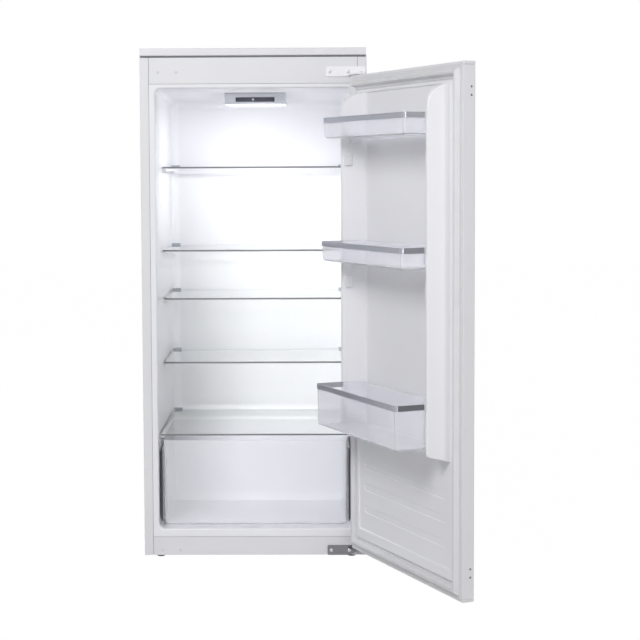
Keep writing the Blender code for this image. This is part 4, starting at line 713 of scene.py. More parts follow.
dome = [
    (SCREW_RADIUS * 11 / 20, -2 * SHEET),
    (SCREW_RADIUS, -SHEET),
    (SCREW_RADIUS, 0),
    (PLUG_RADIUS, 0),
    (PLUG_RADIUS, PLUG_RISE * 2 / 5),
    (PLUG_RADIUS * 4 / 5, PLUG_RISE),
]
plug_spots = [(-x, FRONT, row) for x in COLUMNS for row in (TOP_ROW, BOTTOM_ROW)]
plugs = repeat_at("hole_plugs", plug_spots, small_kit("plug_kit", dome, PLUG_WHITE))
fit(plugs, "cabinet", PLUG_WHITE)
print("plugs:", len(plug_spots), "faces:", len(plugs.data.polygons))

# %% [markdown]
# The tub inside the cabinet is vacuum formed: one polystyrene sheet is heated and drawn into a
# mould. So every corner is a wide radius, the walls draw in a little towards the back, and the
# mouth rolls over a lip into the flat frame. It could be a box with bevels, but then the
# corner could not widen from the mouth to the back. Here the skin is worked out instead:
# a profile of floor, step, back and ceiling is followed, and a fillet of changing radius
# leads it into each side wall. Rings of the same points lead from there out to the mouth.

# %% The tub: sizes
CAVITY_HALF = 0.234
SIDE_DRAFT = 0.001
CEILING_FRONT = 1.1265
CEILING_DRAFT = 0.0145
CAVITY_FLOOR = 0.0645
CAVITY_DEPTH = 0.440
STEP_FACE = 0.090
STEP_TOP = 0.283
LINER_WALL = 0.0015
LIP = 0.0045
MOUTH_CORNER = 0.012
BACK_CORNER = 0.022
STEP_ROUND = 0.012
RING_FROM = FRONT + 0.030
FILLET_STEPS = 7
LIP_STEPS = 5
TUB_WELD = 0.00002


def half_width_at(y):
    """Half the cavity's width, which draws in towards the back."""
    return CAVITY_HALF - SIDE_DRAFT * (y - FRONT) / CAVITY_DEPTH


def ceiling_at(y):
    """Height of the ceiling, which falls towards the back."""
    return CEILING_FRONT - CEILING_DRAFT * (y - FRONT) / CAVITY_DEPTH


def corner_at(y):
    """Radius of the fillet between a side wall and the floor or ceiling."""
    return MOUTH_CORNER + (BACK_CORNER - MOUTH_CORNER) * min(1.0, (y - FRONT) / CAVITY_DEPTH)


print("cavity:", 2 * CAVITY_HALF, CAVITY_DEPTH, CEILING_FRONT - CAVITY_FLOOR)

# %% [markdown]
# Two kinds of lines describe the skin: rounded rectangles across the mouth, and the profile seen
# from the side with the directions square to it, along which the fillets lean inwards.

# %% The tub: its rings and its profile
def quarter(steps):
    """Angles from flat to upright."""
    return [pi / 2 * step / steps for step in range(steps + 1)]


def mouth_ring(y, grow):
    """A rounded rectangle across the mouth, grown all round, with its corners' arcs."""
    half = half_width_at(y) + grow
    low = CAVITY_FLOOR - grow
    high = ceiling_at(y) + grow
    corner = corner_at(y) + grow
    ring = []
    for side, level, back in ((1, low, False), (1, high, True), (-1, high, False), (-1, low, True)):
        rise = corner if level == low else -corner
        bend = []
        for angle in quarter(FILLET_STEPS):
            x = side * (half - corner + corner * sin(angle))
            bend.append(Vector((x, y, level + rise * (1 - cos(angle)))))
        ring.extend(reversed(bend) if back else bend)
    return ring


def side_profile():
    """The tub seen from the side: (y, z) from the floor's front round the back to the ceiling's."""
    back = FRONT + CAVITY_DEPTH
    radius = BACK_CORNER + LINER_WALL
    corners = [
        (RING_FROM, CAVITY_FLOOR, 0),
        (STEP_FACE, CAVITY_FLOOR, radius),
        (STEP_FACE, STEP_TOP, STEP_ROUND),
        (back, STEP_TOP, radius),
        (back, ceiling_at(back), radius),
        (RING_FROM, ceiling_at(RING_FROM), 0),
    ]
    return arcs(corners, FILLET_STEPS)


def square_to(path):
    """Directions square to an open path, to the left of its run."""
    found = []
    for index in range(len(path)):
        along = Vector(path[min(len(path) - 1, index + 1)]) - Vector(path[max(0, index - 1)])
        found.append(Vector((-along.y, along.x)).normalized())
    return found


print("points round the mouth:", len(mouth_ring(FRONT, LIP)), "along the side:", len(side_profile()))

# %% [markdown]
# The rings and the strips of the fillets are woven into one sheet, whose flat frame runs from
# the lip out to the side panels. Then the sheet is given its wall.

# %% The tub: one skin
def tub_skin():
    """The visible face of the liner: frame, lip, walls, step, back and ceiling."""
    bm = bmesh.new()
    rings = []
    for angle in quarter(LIP_STEPS):
        rings.append(mouth_ring(FRONT + LIP * (1 - cos(angle)), LIP * (1 - sin(angle))))
    rings.append(mouth_ring(RING_FROM, 0))
    rows = [[bm.verts.new(point) for point in ring] for ring in rings]
    woven(bm, rows)
    profile = side_profile()
    normals = square_to(profile)
    normals[0], normals[-1] = Vector((0, 1)), Vector((0, -1))
    walls = []
    for side in (-1, 1):
        strips = []
        for angle in quarter(FILLET_STEPS):
            strip = []
            for (y, z), normal in zip(profile, normals):
                corner = corner_at(y)
                inset = corner * (1 - cos(angle))
                at_y = y + normal.x * inset
                x = side * (half_width_at(at_y) - corner + corner * sin(angle))
                strip.append(bm.verts.new((x, at_y, z + normal.y * inset)))
            strips.append(strip)
        woven(bm, strips, closed=False)
        bm.faces.new(strips[-1])
        walls.append(strips[0])
    woven(bm, walls, closed=False)
    frame_low, frame_high = corners_of("inner_liner")
    outer = []
    for z, x in rounded(frame_low.z, RAIL_HALF, frame_high.z, -RAIL_HALF, 0):
        outer.append(bm.verts.new((x, FRONT, z)))
    bend = FILLET_STEPS + 1
    mouth = rows[0] + rows[0]
    for corner in range(4):
        start = bend * corner + bend // 2
        run = mouth[start:start + bend + 1]
        bm.faces.new((*run, outer[(corner + 1) % 4], outer[corner]))
    bmesh.ops.remove_doubles(bm, verts=bm.verts, dist=TUB_WELD)
    bmesh.ops.triangulate(bm, faces=[face for face in bm.faces if len(face.verts) > 4])
    return bm


def thick_skin(name, bm, wall, towards):
    """Give an open skin its wall. The side that faces the point towards stays in place."""
    bmesh.ops.recalc_face_normals(bm, faces=bm.faces)
    facing = 0
    for face in bm.faces:
        facing += face.normal.dot(towards - face.calc_center_median()) * face.calc_area()
    if facing < 0:
        bmesh.ops.reverse_faces(bm, faces=bm.faces)
    made = from_bmesh(name, bm)
    shell = made.modifiers.new("wall", "SOLIDIFY")
    shell.thickness = wall
    shell.offset = -1
    shell.use_even_offset = True
    return made


tub = thick_skin("tub", tub_skin(), LINER_WALL, Vector((0, (FRONT + STEP_FACE) / 2, CABINET_TOP / 2)))
print("tub faces before the ledges:", len(tub.data.polygons))

# %% [markdown]
# Each shelf rests on two ledges that are moulded into the tub's walls.

# %% Shelf ledges
SHELVES = ("shelf_1", "shelf_2", "shelf_3", "shelf_4", "crisper_cover")
LEDGE_WIDTH = 0.010
LEDGE_HEIGHT = 0.007
LEDGE_LEAD = 0.015
LEDGE_EASE = 0.0022
FIT_GAP = 0.0003
for shelf in SHELVES:
    glass_low, glass_high = corners_of(shelf + "_glass")
    top = glass_low.z - FIT_GAP
    for side in (-1, 1):
        inner = side * (glass_high.x - LEDGE_WIDTH)
        outer = side * (half_width_at(glass_low.y) + LINER_WALL / 2)
        low = (min(inner, outer), glass_low.y + LEDGE_LEAD, top - LEDGE_HEIGHT)
        high = (max(inner, outer), FRONT + CAVITY_DEPTH - BACK_CORNER, top)
        carve(tub, baked(ease(block("ledge", low, high), LEDGE_EASE)), "UNION")
settle(tub)
fit(tub, "cabinet", LINER_SHEET, ("inner_liner",))
print("tub faces:", len(tub.data.polygons))

# %% [markdown]
# The foam behind the tub takes the tub's own shape, because it is poured against it. The
# frame's foam has one radius in every corner, so a copy of it is cut out again by the tub's
# outside wherever the mouth's corners are tighter, and its edge above the step is cut off
# behind the tub's round one. Its front is taped before the rails go on, so grey seal shows in
# the seams and not the yellow foam.

# %% Foam behind the tub
bm = bmesh.new()
bm.from_mesh(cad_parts["insulation_foam"].data)
bmesh.ops.remove_doubles(bm, verts=bm.verts, dist=WELD)
foam_block = from_bmesh("poured_foam", bm)
clear = LINER_WALL + FIT_GAP
lip_end = FRONT + LIP
mouth_places = [FRONT - SHEET, FRONT + LINER_WALL, lip_end]
mouth_places += [lip_end + (STEP_FACE - lip_end) * share / 4 for share in (1, 2, 3)]
mouth_rings = [mouth_ring(y, clear + max(0, lip_end - y)) for y in mouth_places]
carve(foam_block, lofted("tub_space", mouth_rings))
step_edge = [
    (STEP_FACE - FIT_GAP, STEP_TOP - STEP_ROUND),
    (STEP_FACE + STEP_ROUND, STEP_TOP + FIT_GAP),
    (STEP_FACE - FIT_GAP, STEP_TOP + FIT_GAP),
]
carve(foam_block, cut_plate("step_edge", step_edge, -CAVITY_HALF, CAVITY_HALF, "X"))
settle(foam_block)
fit(foam_block, "cabinet", (FOAM, SEAL_AND_PAINTED_SHADOW), ("insulation_foam",))
paint(foam_block, lambda face: face.center.y < FRONT + LINER_WALL + 2 * FIT_GAP)
print("foam faces:", len(foam_block.data.polygons))

# %% [markdown]
# The door hangs on two pins and stands open. It is easiest to draw shut and flat: across from
# the hinge edge, inward from the door's inner face, and up. One matrix then swings every piece
# of it about the pins, as the real door swings.

# %% The door's own frame
OPENING = radians(113.9)
PIVOT_FROM_EDGE = 0.0124
PIVOT_BEHIND_FACE = 0.0217
DOOR_WIDTH = 0.5385
DOOR_THICKNESS = 0.0282
DOOR_LIP = 0.009
DOOR_CORNER = 0.0025
pin_middle = middle_of("hinge_pin_upper")
PIVOT = Vector((pin_middle.x, pin_middle.y, 0))
SWING = Matrix.Translation(PIVOT) @ Matrix.Rotation(OPENING, 4, "Z")
DOOR_TOP = corners_of("door_cap_top")[1].z
DOOR_BOTTOM = corners_of("door_cap_bottom")[0].z
DOOR_HEIGHT = DOOR_TOP - DOOR_BOTTOM
PAN_BOTTOM, PAN_TOP = [corner.z for corner in corners_of("door_outer_panel")]


def on_door(across, inward, up=None):
    """A place on the shut door, measured from the pins."""
    flat = (PIVOT_FROM_EDGE - across, PIVOT_BEHIND_FACE + inward)
    return flat if up is None else Vector((*flat, up))


def swing(thing):
    """Open a piece with the door."""
    thing.data.transform(SWING)
    return thing


print("pins at", tuple(PIVOT), "door height", DOOR_HEIGHT)

# %% [markdown]
# The outer skin is one steel pan, folded in along both uprights. Plastic caps close its top
# and bottom and carry the hinge bushes. On the free edge four small holes take the brackets
# of the furniture panel, and a grey nylon insert sits in each. The pan is a folded outline
# drawn up the door.

# %% Door pan and its nylon inserts
EDGE_HOLE_RADIUS = 0.0025
EDGE_HOLE_END = 0.0522
EDGE_HOLE_PITCH = 0.0175
INSERT_SUNK = 0.0003
INSERT_BACK = 0.0009
wide = DOOR_WIDTH
deep = DOOR_THICKNESS
half_pan = [
    (wide, -deep, DOOR_CORNER),
    (wide, 0, SHEET_EASE * 2),
    (wide - DOOR_LIP, 0, SHEET_EASE),
    (wide - DOOR_LIP, -SHEET, SHEET_EASE),
    (wide - SHEET, -SHEET, SHEET_EASE),
    (wide - SHEET, SHEET - deep, DOOR_CORNER - SHEET),
]
pan_plan = half_pan + [(wide - across, inward, radius) for across, inward, radius in reversed(half_pan)]
pan_plan = [on_door(*point) for point in arcs(pan_plan)]
pan = cut_plate("door_pan", pan_plan, PAN_BOTTOM, PAN_TOP, "Z")
hole_x, hole_y = on_door(wide, -deep * 2 / 3)
hole_steps = (EDGE_HOLE_END, EDGE_HOLE_END + EDGE_HOLE_PITCH)
hole_levels = [DOOR_BOTTOM + step for step in hole_steps] + [DOOR_TOP - step for step in hole_steps]
for level in hole_levels:
    reach = (hole_x - 3 * SHEET, hole_x + 3 * SHEET)
    carve(pan, drill("edge_hole", EDGE_HOLE_RADIUS, *reach, hole_y, level, "X"))
fit(swing(settle(pan)), "door", DOOR_LACQUER, ("door_outer_panel",))

insert_radius = EDGE_HOLE_RADIUS - FIT_GAP / 2
insert_profile = [
    (insert_radius, -INSERT_BACK),
    (insert_radius, -INSERT_SUNK),
    (insert_radius * 2 / 3, -INSERT_SUNK),
    (insert_radius / 2, -INSERT_BACK * 4 / 5),
]
insert_kit = small_kit("insert_kit", insert_profile, GREY_NYLON, 16)
insert_spots = [(hole_x, hole_y, level) for level in hole_levels]
inserts = repeat_at("edge_inserts", insert_spots, insert_kit, (0, 0, -pi / 2))
fit(swing(inserts), "door", GREY_NYLON)
print("pan faces:", len(pan.data.polygons), "inserts:", len(insert_spots))

# %% [markdown]
# The caps are the door's outline, stacked in rings that draw in at the top and bottom, because
# a moulded edge is softer than a folded one. Each is bored for its hinge bush.

# %% Door caps
CAP_EASE = 0.0012
BUSH_RADIUS = 0.0046


def cap_ring(level, inset):
    """A level ring of a door cap, shrunk all round."""
    plan = rounded(-inset, inset, inset - deep, wide - inset, DOOR_CORNER - inset)
    return [on_door(across, inward, level) for inward, across in plan]


rounding = [(CAP_EASE * (1 - sin(angle)), CAP_EASE * (1 - cos(angle))) for angle in quarter(3)]
for name in ("door_cap_bottom", "door_cap_top"):
    low, high = corners_of(name)
    rings = [cap_ring(low.z + rise, inset) for inset, rise in rounding]
    rings += [cap_ring(high.z - rise, inset) for inset, rise in reversed(rounding)]
    cap = lofted(name + "_moulded", rings)
    carve(cap, drill("bore", BUSH_RADIUS + FIT_GAP, low.z - SHEET, high.z + SHEET, 0, 0, "Z"))
    fit(swing(settle(cap)), "door", WHITE_ABS, (name,))
print("cap faces:", len(cap.data.polygons))

# %% [markdown]
# The door's inner skin is the largest moulded face in the picture. A flat rim lies under the
# gasket, then the sheet steps up to a raised field. Inside it lies a shallow sunk panel, with
# two tall ridges that carry the bins and three pressed grooves below. A sheet drawn over a mould
# can be described by its height over a flat plane. So the height along each level is drawn as
# a cross-section with rounded corners, and the sections are lofted up the door while the
# field, the panel and the ridges rise and fall.

# %% Inner skin of the door: sizes
SKIN_WALL = 0.002
FIELD_MARGIN = 0.036
FIELD_PROUD = 0.004
FIELD_SLOPE = 0.0022
PANEL_MARGIN = 0.0595
PANEL_RECESS = 0.003
PANEL_SLOPE = 0.002
RIDGE_MARGIN = 0.0485
RIDGE_BASE = 0.0375
CREST_MARGIN = 0.0555
CREST_WIDTH = 0.0095
RIDGE_PROUD = 0.054
CREST_ROUND = 0.0042
RIDGE_FOOT_SHARE = 0.2575
RIDGE_FOOT = RIDGE_FOOT_SHARE * DOOR_HEIGHT + DOOR_BOTTOM
RIDGE_END = 0.0435
RIDGE_TOP = DOOR_TOP - RIDGE_END
FOOT_SLOPE = 0.012
TOP_ROUND = 0.046
FOOT_ROUND = 0.007
ROOT_ROUND = 0.010
RIDGE_RISE = RIDGE_PROUD - FIELD_PROUD + PANEL_RECESS
LEAST_SHARE = 0.02
EDGE_ROUND = 0.0015
STEP_CREST = 0.0025
LEVEL_STEP = 0.00005
TOP_STEPS = 14
FAR_INWARD = 10.0


def read_line(line, level):
    """The height at a level, from a line of (level, height) points."""
    for (one, low), (two, high) in zip(line, line[1:]):
        if one <= level <= two:
            share = (level - one) / (two - one) if two > one else 1
            return low + (high - low) * share
    return line[0][1] if level < line[0][0] else line[-1][1]


def stepped(low, high, top, slope):
    """A line that steps up from nothing to a height between two levels."""
    corners = [
        (PAN_BOTTOM - SHEET, 0, 0),
        (low - slope / 2, 0, EDGE_ROUND),
        (low + slope / 2, top, EDGE_ROUND),
        (high - slope / 2, top, EDGE_ROUND),
        (high + slope / 2, 0, EDGE_ROUND),
        (PAN_TOP + SHEET, 0, 0),
    ]
    return arcs(corners, 3)


def ridge_line():
    """The crest's height up the door: a steep foot, a long straight and a quarter round top."""
    foot = [
        (PAN_BOTTOM, 0, 0),
        (RIDGE_FOOT, 0, FOOT_ROUND),
        (RIDGE_FOOT + FOOT_SLOPE, RIDGE_RISE, FOOT_ROUND),
        (RIDGE_TOP - TOP_ROUND, RIDGE_RISE, 0),
    ]
    top = []
    for angle in quarter(TOP_STEPS)[1:]:
        out = PANEL_RECESS + (RIDGE_RISE - PANEL_RECESS) * cos(angle)
        top.append((RIDGE_TOP - TOP_ROUND + TOP_ROUND * sin(angle), out))
    return arcs(foot) + top + [(RIDGE_TOP + PANEL_SLOPE, 0), (PAN_TOP, 0)]


FIELD_LINE = stepped(DOOR_BOTTOM + FIELD_MARGIN, DOOR_TOP - FIELD_MARGIN, FIELD_PROUD, FIELD_SLOPE)
PANEL_LINE = stepped(DOOR_BOTTOM + PANEL_MARGIN, RIDGE_TOP, PANEL_RECESS, PANEL_SLOPE)
RIDGE_LINE = ridge_line()
print("ridges rise", RIDGE_RISE, "from", RIDGE_FOOT, "to", RIDGE_TOP)

# %% [markdown]
# With the three lines read at a level, the section there is half drawn and half mirrored. A
# section is drawn wherever one of the lines bends, and nowhere else.

# %% Inner skin of the door: loft
def skin_section(level):
    """The section across the door at a level, from rim to rim."""
    field = read_line(FIELD_LINE, level)
    floor = field - read_line(PANEL_LINE, level)
    rise = read_line(RIDGE_LINE, level)
    share = max(LEAST_SHARE, rise / RIDGE_RISE)
    outer = RIDGE_MARGIN + (CREST_MARGIN - RIDGE_MARGIN) * share
    width = RIDGE_BASE + (CREST_WIDTH - RIDGE_BASE) * share
    corners = [
        (DOOR_LIP + FIT_GAP, 0, 0),
        (FIELD_MARGIN - FIELD_SLOPE / 2, 0, EDGE_ROUND),
        (FIELD_MARGIN + FIELD_SLOPE / 2, field, STEP_CREST),
        (RIDGE_MARGIN, field, STEP_CREST),
        (outer, floor + rise, CREST_ROUND),
        (outer + width, floor + rise, CREST_ROUND),
        (RIDGE_MARGIN + RIDGE_BASE, floor, ROOT_ROUND),
        (wide / 2, floor, 0),
    ]
    half = arcs(corners)
    return half + [(wide - across, out) for across, out in reversed(half[:-1])]


def door_skin():
    """The inner skin as an open sheet, from hinge edge to free edge."""
    levels = {PAN_BOTTOM, PAN_TOP}
    for line in (FIELD_LINE, PANEL_LINE, RIDGE_LINE):
        levels.update(level for level, height in line if PAN_BOTTOM < level < PAN_TOP)
    kept = []
    for level in sorted(levels):
        if not kept or level - kept[-1] > LEVEL_STEP:
            kept.append(level)
    bm = bmesh.new()
    rows = []
    for level in kept:
        rows.append([bm.verts.new(on_door(*point, level)) for point in skin_section(level)])
    woven(bm, rows, closed=False)
    bmesh.ops.remove_doubles(bm, verts=bm.verts, dist=WELD)
    return bm


inner_side = on_door(wide / 2, FAR_INWARD, DOOR_TOP / 2)
skin = thick_skin("door_skin", door_skin(), SKIN_WALL, inner_side)
print("door skin faces before pressing:", len(skin.data.polygons))

# %% [markdown]
# Three shallow grooves stiffen the panel below the lowest bin. Their edges are soft, so each
# draws a fine dark line above and a fine light line below. Small lugs on the ridges hold the
# bins up. A spare pair lower down is only a thin upright rib.

# %% Grooves and lugs of the door's skin
GROOVE_SHARES = (0.097, 0.144, 0.189)
GROOVE_HEIGHT = 0.017
GROOVE_MARGIN = 0.076
GROOVE_DEPTH = 0.0015
GROOVE_ROUND = 0.0045
GROOVE_DRAFT = 0.0016
GROOVE_PROFILE = (
    (-GROOVE_DEPTH, GROOVE_DRAFT),
    (-GROOVE_DEPTH * 4 / 5, GROOVE_DRAFT * 2 / 5),
    (0, 0),
    (SHEET, -GROOVE_DRAFT / 3),
)
BIN_NAMES = ("top", "middle", "lower")
LUG_FROM_FACE = 0.016
LUG_EASE = 0.0012
LUG_SIZE = (0.006, 0.022, 0.010)
SPARE_FROM_FACE = 0.032
SPARE_LUG_SIZE = (0.003, 0.017, 0.027)
SPARE_LUG_DROP = 0.035


def ridge_inner(out):
    """How far a ridge's bin side lies from the door's edge, at a distance from the inner face."""
    base = RIDGE_MARGIN + RIDGE_BASE
    return base + (CREST_MARGIN + CREST_WIDTH - base) * out / RIDGE_PROUD


for share in GROOVE_SHARES:
    middle = DOOR_BOTTOM + share * DOOR_HEIGHT
    rings = []
    for out, inset in GROOVE_PROFILE:
        margin = GROOVE_MARGIN + inset
        half = GROOVE_HEIGHT / 2 - inset
        plan = rounded(margin, middle - half, wide - margin, middle + half, GROOVE_ROUND)
        rings.append([on_door(across, FIELD_PROUD - PANEL_RECESS + out, up) for across, up in plan])
    carve(skin, lofted("pressed_groove", rings))
for which in BIN_NAMES:
    top = corners_of("door_bin_" + which)[0].z - FIT_GAP
    lugs = [(top, LUG_FROM_FACE, LUG_SIZE)]
    if which != "lower":
        lugs.append((top - SPARE_LUG_DROP, SPARE_FROM_FACE, SPARE_LUG_SIZE))
    for top, foot, (proud, depth, height) in lugs:
        root = ridge_inner(foot + depth) - SKIN_WALL / 2
        tip = ridge_inner(foot) + proud
        for one, other in ((root, tip), (wide - tip, wide - root)):
            lug = block("lug", on_door(other, foot, top - height), on_door(one, foot + depth, top))
            carve(skin, baked(ease(lug, LUG_EASE)), "UNION")
settle(skin)
fit(swing(skin), "door", DOOR_SHEET, ("door_inner_liner",))
print("door skin faces:", len(skin.data.polygons), "levels of bins:", BIN_NAMES)

# %% [markdown]
# The magnetic gasket is an extruded profile, cut into four lengths and welded at mitred
# corners. Its flat foot is pushed into the door, and a soft bulb stands up to meet the frame.
# The section is drawn once and led round the door's rectangle, so the mitres come by themselves.

# %% Gasket
GASKET_OUTER, GASKET_INNER = 0.005, 0.034
GASKET_LIP, LIP_ROUND = 0.002, 0.0008
BULB_OUTER, BULB_INNER = 0.014, 0.028
BULB_PROUD, BULB_ROUND = 0.0117, 0.0022
NECK_OUT, NECK = 0.0048, 0.0006
BULB_LEAN = 0.004
CREASE_DEEP, CREASE_ROUND = 0.0004, 0.0003
BULB_MIDDLE = (BULB_OUTER + BULB_INNER) / 2


def bulb_side(sign):
    """One side of the bulb, from the foot over the neck to the crown."""
    edge = BULB_MIDDLE + sign * (BULB_INNER - BULB_OUTER) / 2
    return [
        (edge + 2 * sign * NECK, GASKET_LIP, NECK),
        (edge + sign * NECK, NECK_OUT, NECK),
        (edge, NECK_OUT + NECK, NECK),
        (edge - sign * BULB_LEAN, BULB_PROUD, BULB_ROUND),
        (BULB_MIDDLE + sign * CREASE_ROUND, BULB_PROUD, CREASE_ROUND),
    ]


gasket_section = [
    (GASKET_OUTER, FIT_GAP, 0),
    (GASKET_OUTER, GASKET_LIP, LIP_ROUND),
    *bulb_side(-1),
    (BULB_MIDDLE, BULB_PROUD - CREASE_DEEP, 0),
    *reversed(bulb_side(1)),
    (GASKET_INNER, GASKET_LIP, LIP_ROUND),
    (GASKET_INNER, FIT_GAP, 0),
]
rings = []
for margin, out in arcs(gasket_section, 4):
    plan = rounded(margin, DOOR_BOTTOM + margin, wide - margin, DOOR_TOP - margin, 0)
    rings.append([on_door(across, out, up) for across, up in plan])
gasket = lofted("gasket_profile", rings + rings[:1], ends=False)
fit(swing(settle(gasket)), "door", GASKET_PVC, ("door_gasket",))
print("gasket faces:", len(gasket.data.polygons))

# %% [markdown]
# The bins on the door are moulded from clear polystyrene: a tray that is narrow between the
# ridges and wide in front of them, with soft corners and a floor that curves up into the
# walls. Its underside is etched, so it looks hazy. The tray's plan is drawn once. It is stacked
# in rings that widen upwards, then turned over the rim and led down again inside, so the wall
# has its true thickness and light bends in it rightly.

# %% Door bins: trays
BIN_FLARE = 1.012
BIN_WALL = 0.0022
BIN_CORNER = 0.006
BIN_SHOULDER = 0.006
BIN_BACK_CORNER = 0.005
BIN_FOOT = 0.007
BIN_BACK_GAP = 0.006
BIN_END = 0.0695
SLIDE_GAP = 0.003
BIN_REACHES = (0.1025, 0.1085, 0.1220)


def tub_levels(bottom, top, wall, keel, steps, round_rim=True):
    """(level, inset) pairs of a tub: up the outside, over the rim and down to the floor inside."""
    bend = [(1 - cos(angle), 1 - sin(angle)) for angle in quarter(steps)]
    over = [(top, 0), (top, wall)]
    if round_rim:
        rim = wall / 2
        over = [(top - rim + rim * sin(angle), rim * (1 - cos(angle))) for angle in quarter(3)]
        over += [(level, wall - inset) for level, inset in reversed(over[:-1])]
    up = [(bottom + keel * rise, keel * inset) for rise, inset in bend]
    inner = keel - wall
    down = [(bottom + wall + inner * rise, wall + inner * inset) for rise, inset in reversed(bend)]
    return up + over + down


def bin_plan(reach, inset, steps=6):
    """A bin's plan on the door, shrunk all round by inset."""
    back = BIN_BACK_GAP + inset
    narrow = ridge_inner(BIN_BACK_GAP) + SLIDE_GAP / 2 + inset
    end = BIN_END + inset
    shoulder = RIDGE_PROUD * 4 / 5
    heel = BIN_BACK_CORNER - min(inset, BIN_BACK_CORNER * 4 / 5)
    corners = [
        (narrow, back, heel),
        (wide - narrow, back, heel),
        (wide - end, shoulder, BIN_SHOULDER),
        (wide - end, reach - inset, BIN_CORNER - inset),
        (end, reach - inset, BIN_CORNER - inset),
        (end, shoulder, BIN_SHOULDER),
    ]
    return arcs(corners, steps)


for which, reach in zip(BIN_NAMES, BIN_REACHES):
    name = "door_bin_" + which
    low, high = corners_of(name)
    rings = []
    for level, inset in tub_levels(low.z, high.z, BIN_WALL, BIN_FOOT, 5):
        flare = 1 + (BIN_FLARE - 1) * (level - low.z) / (high.z - low.z)
        ring = []
        for across, out in bin_plan(reach / BIN_FLARE, inset):
            ring.append(on_door(across, BIN_BACK_GAP + (out - BIN_BACK_GAP) * flare, level))
        rings.append(ring)
    tray = settle(lofted(name + "_moulded", rings))
    fit(swing(tray), "bin_" + which, (CLEAR_BIN, BIN_FLOOR), (name,))
    paint(tray, lambda face: face.center.z < low.z + BIN_WALL / 2)
    print(name, "faces:", len(tray.data.polygons))

# %% [markdown]
# A silver strip is clipped over each rim. Its ends are painted darker, and darker again on each
# lower bin: painted shade and reflection where the ends turn away from the light. It follows
# the tray's own plan round the front, and its small section is set square to that way at every point.

# %% Door bins: trim strips
STRIP_HEIGHT = 0.012
STRIP_WALL = 0.0012


def front_path(reach):
    """The way round a bin's front, from one ridge to the other."""
    foot = RIDGE_PROUD + FIT_GAP
    path = [point for point in reversed(bin_plan(reach, -FIT_GAP, 8)) if point[1] > foot]
    return [(path[0][0], foot), *path, (path[-1][0], foot)]


def rim_strip(name, reach, low, high):
    """The silver strip: a thin channel led round the front of the rim."""
    section = rounded(0, low, STRIP_WALL, high, STRIP_WALL / 3, 2)
    path = front_path(reach)
    rings = []
    for (across, out), away in zip(path, square_to(path)):
        rings.append([on_door(across + away.x * off, out + away.y * off, up) for off, up in section])
    return lofted(name, rings)


for which, reach in zip(BIN_NAMES, BIN_REACHES):
    name = "door_bin_" + which
    top = corners_of(name)[1].z
    strip = settle(rim_strip(name + "_rim_strip", reach, top - STRIP_HEIGHT, top))
    fit(strip, "bin_" + which, (TRIM_FOIL, TRIM_END_SHADES[which]), (name + "_trim",))
    # Faces behind the front corners take the painted shade of the strip's ends.
    paint(strip, lambda face: face.center.y < PIVOT_BEHIND_FACE + reach - BIN_CORNER)
    swing(strip)
print("strip faces:", len(strip.data.polygons))

# %% [markdown]
# The crisper drawer is one clear tub on two low glides. Its sides lean out slightly, so that
# it leaves its mould, and the floor runs into the sides with a wide round keel. It is stacked
# in rings like the bins.

# %% Crisper drawer
DRAWER_WALL = 0.003
DRAWER_CORNER = 0.012
DRAWER_KEEL = 0.014
DRAWER_TAPER = 1.004
GLIDE_HEIGHT = 0.003
GLIDE_WIDTH = 0.008
tub_low, tub_high = corners_of("crisper_drawer")
drawer_bottom = tub_low.z + GLIDE_HEIGHT
rings = []
for level, inset in tub_levels(drawer_bottom, tub_high.z, DRAWER_WALL, DRAWER_KEEL, 6):
    share = (level - drawer_bottom) / (tub_high.z - drawer_bottom)
    half = tub_high.x / DRAWER_TAPER * (1 + (DRAWER_TAPER - 1) * share) - inset
    corner = max(DRAWER_CORNER - inset, DRAWER_CORNER / 4)
    outline = rounded(-half, tub_low.y + inset, half, tub_high.y - inset, corner, 6)
    rings.append([(x, y, level) for x, y in outline])
drawer = lofted("crisper_tub", rings)
for side in (-1, 1):
    x = side * tub_high.x * 3 / 4
    low = (x - GLIDE_WIDTH / 2, tub_low.y + 2 * DRAWER_KEEL, tub_low.z)
    high = (x + GLIDE_WIDTH / 2, tub_high.y - 2 * DRAWER_KEEL, drawer_bottom + DRAWER_WALL / 2)
    carve(drawer, block("glide", low, high), "UNION")
fit(settle(drawer), "drawer", CLEAR_DRAWER, ("crisper_drawer",))
print("drawer faces:", len(drawer.data.polygons))

# %% [markdown]
# Each shelf is toughened glass, 4 mm thick, ground along its edges. Seen from the front only
# the edge shows, as a dark line. That line is painted shade: the edge has an opaque dark grey
# finish in place of the green that light gathers along the whole sheet. Behind the glass runs
# a low grey bar with a block at each end, which stops food from sliding off and the shelf from
# sliding out.

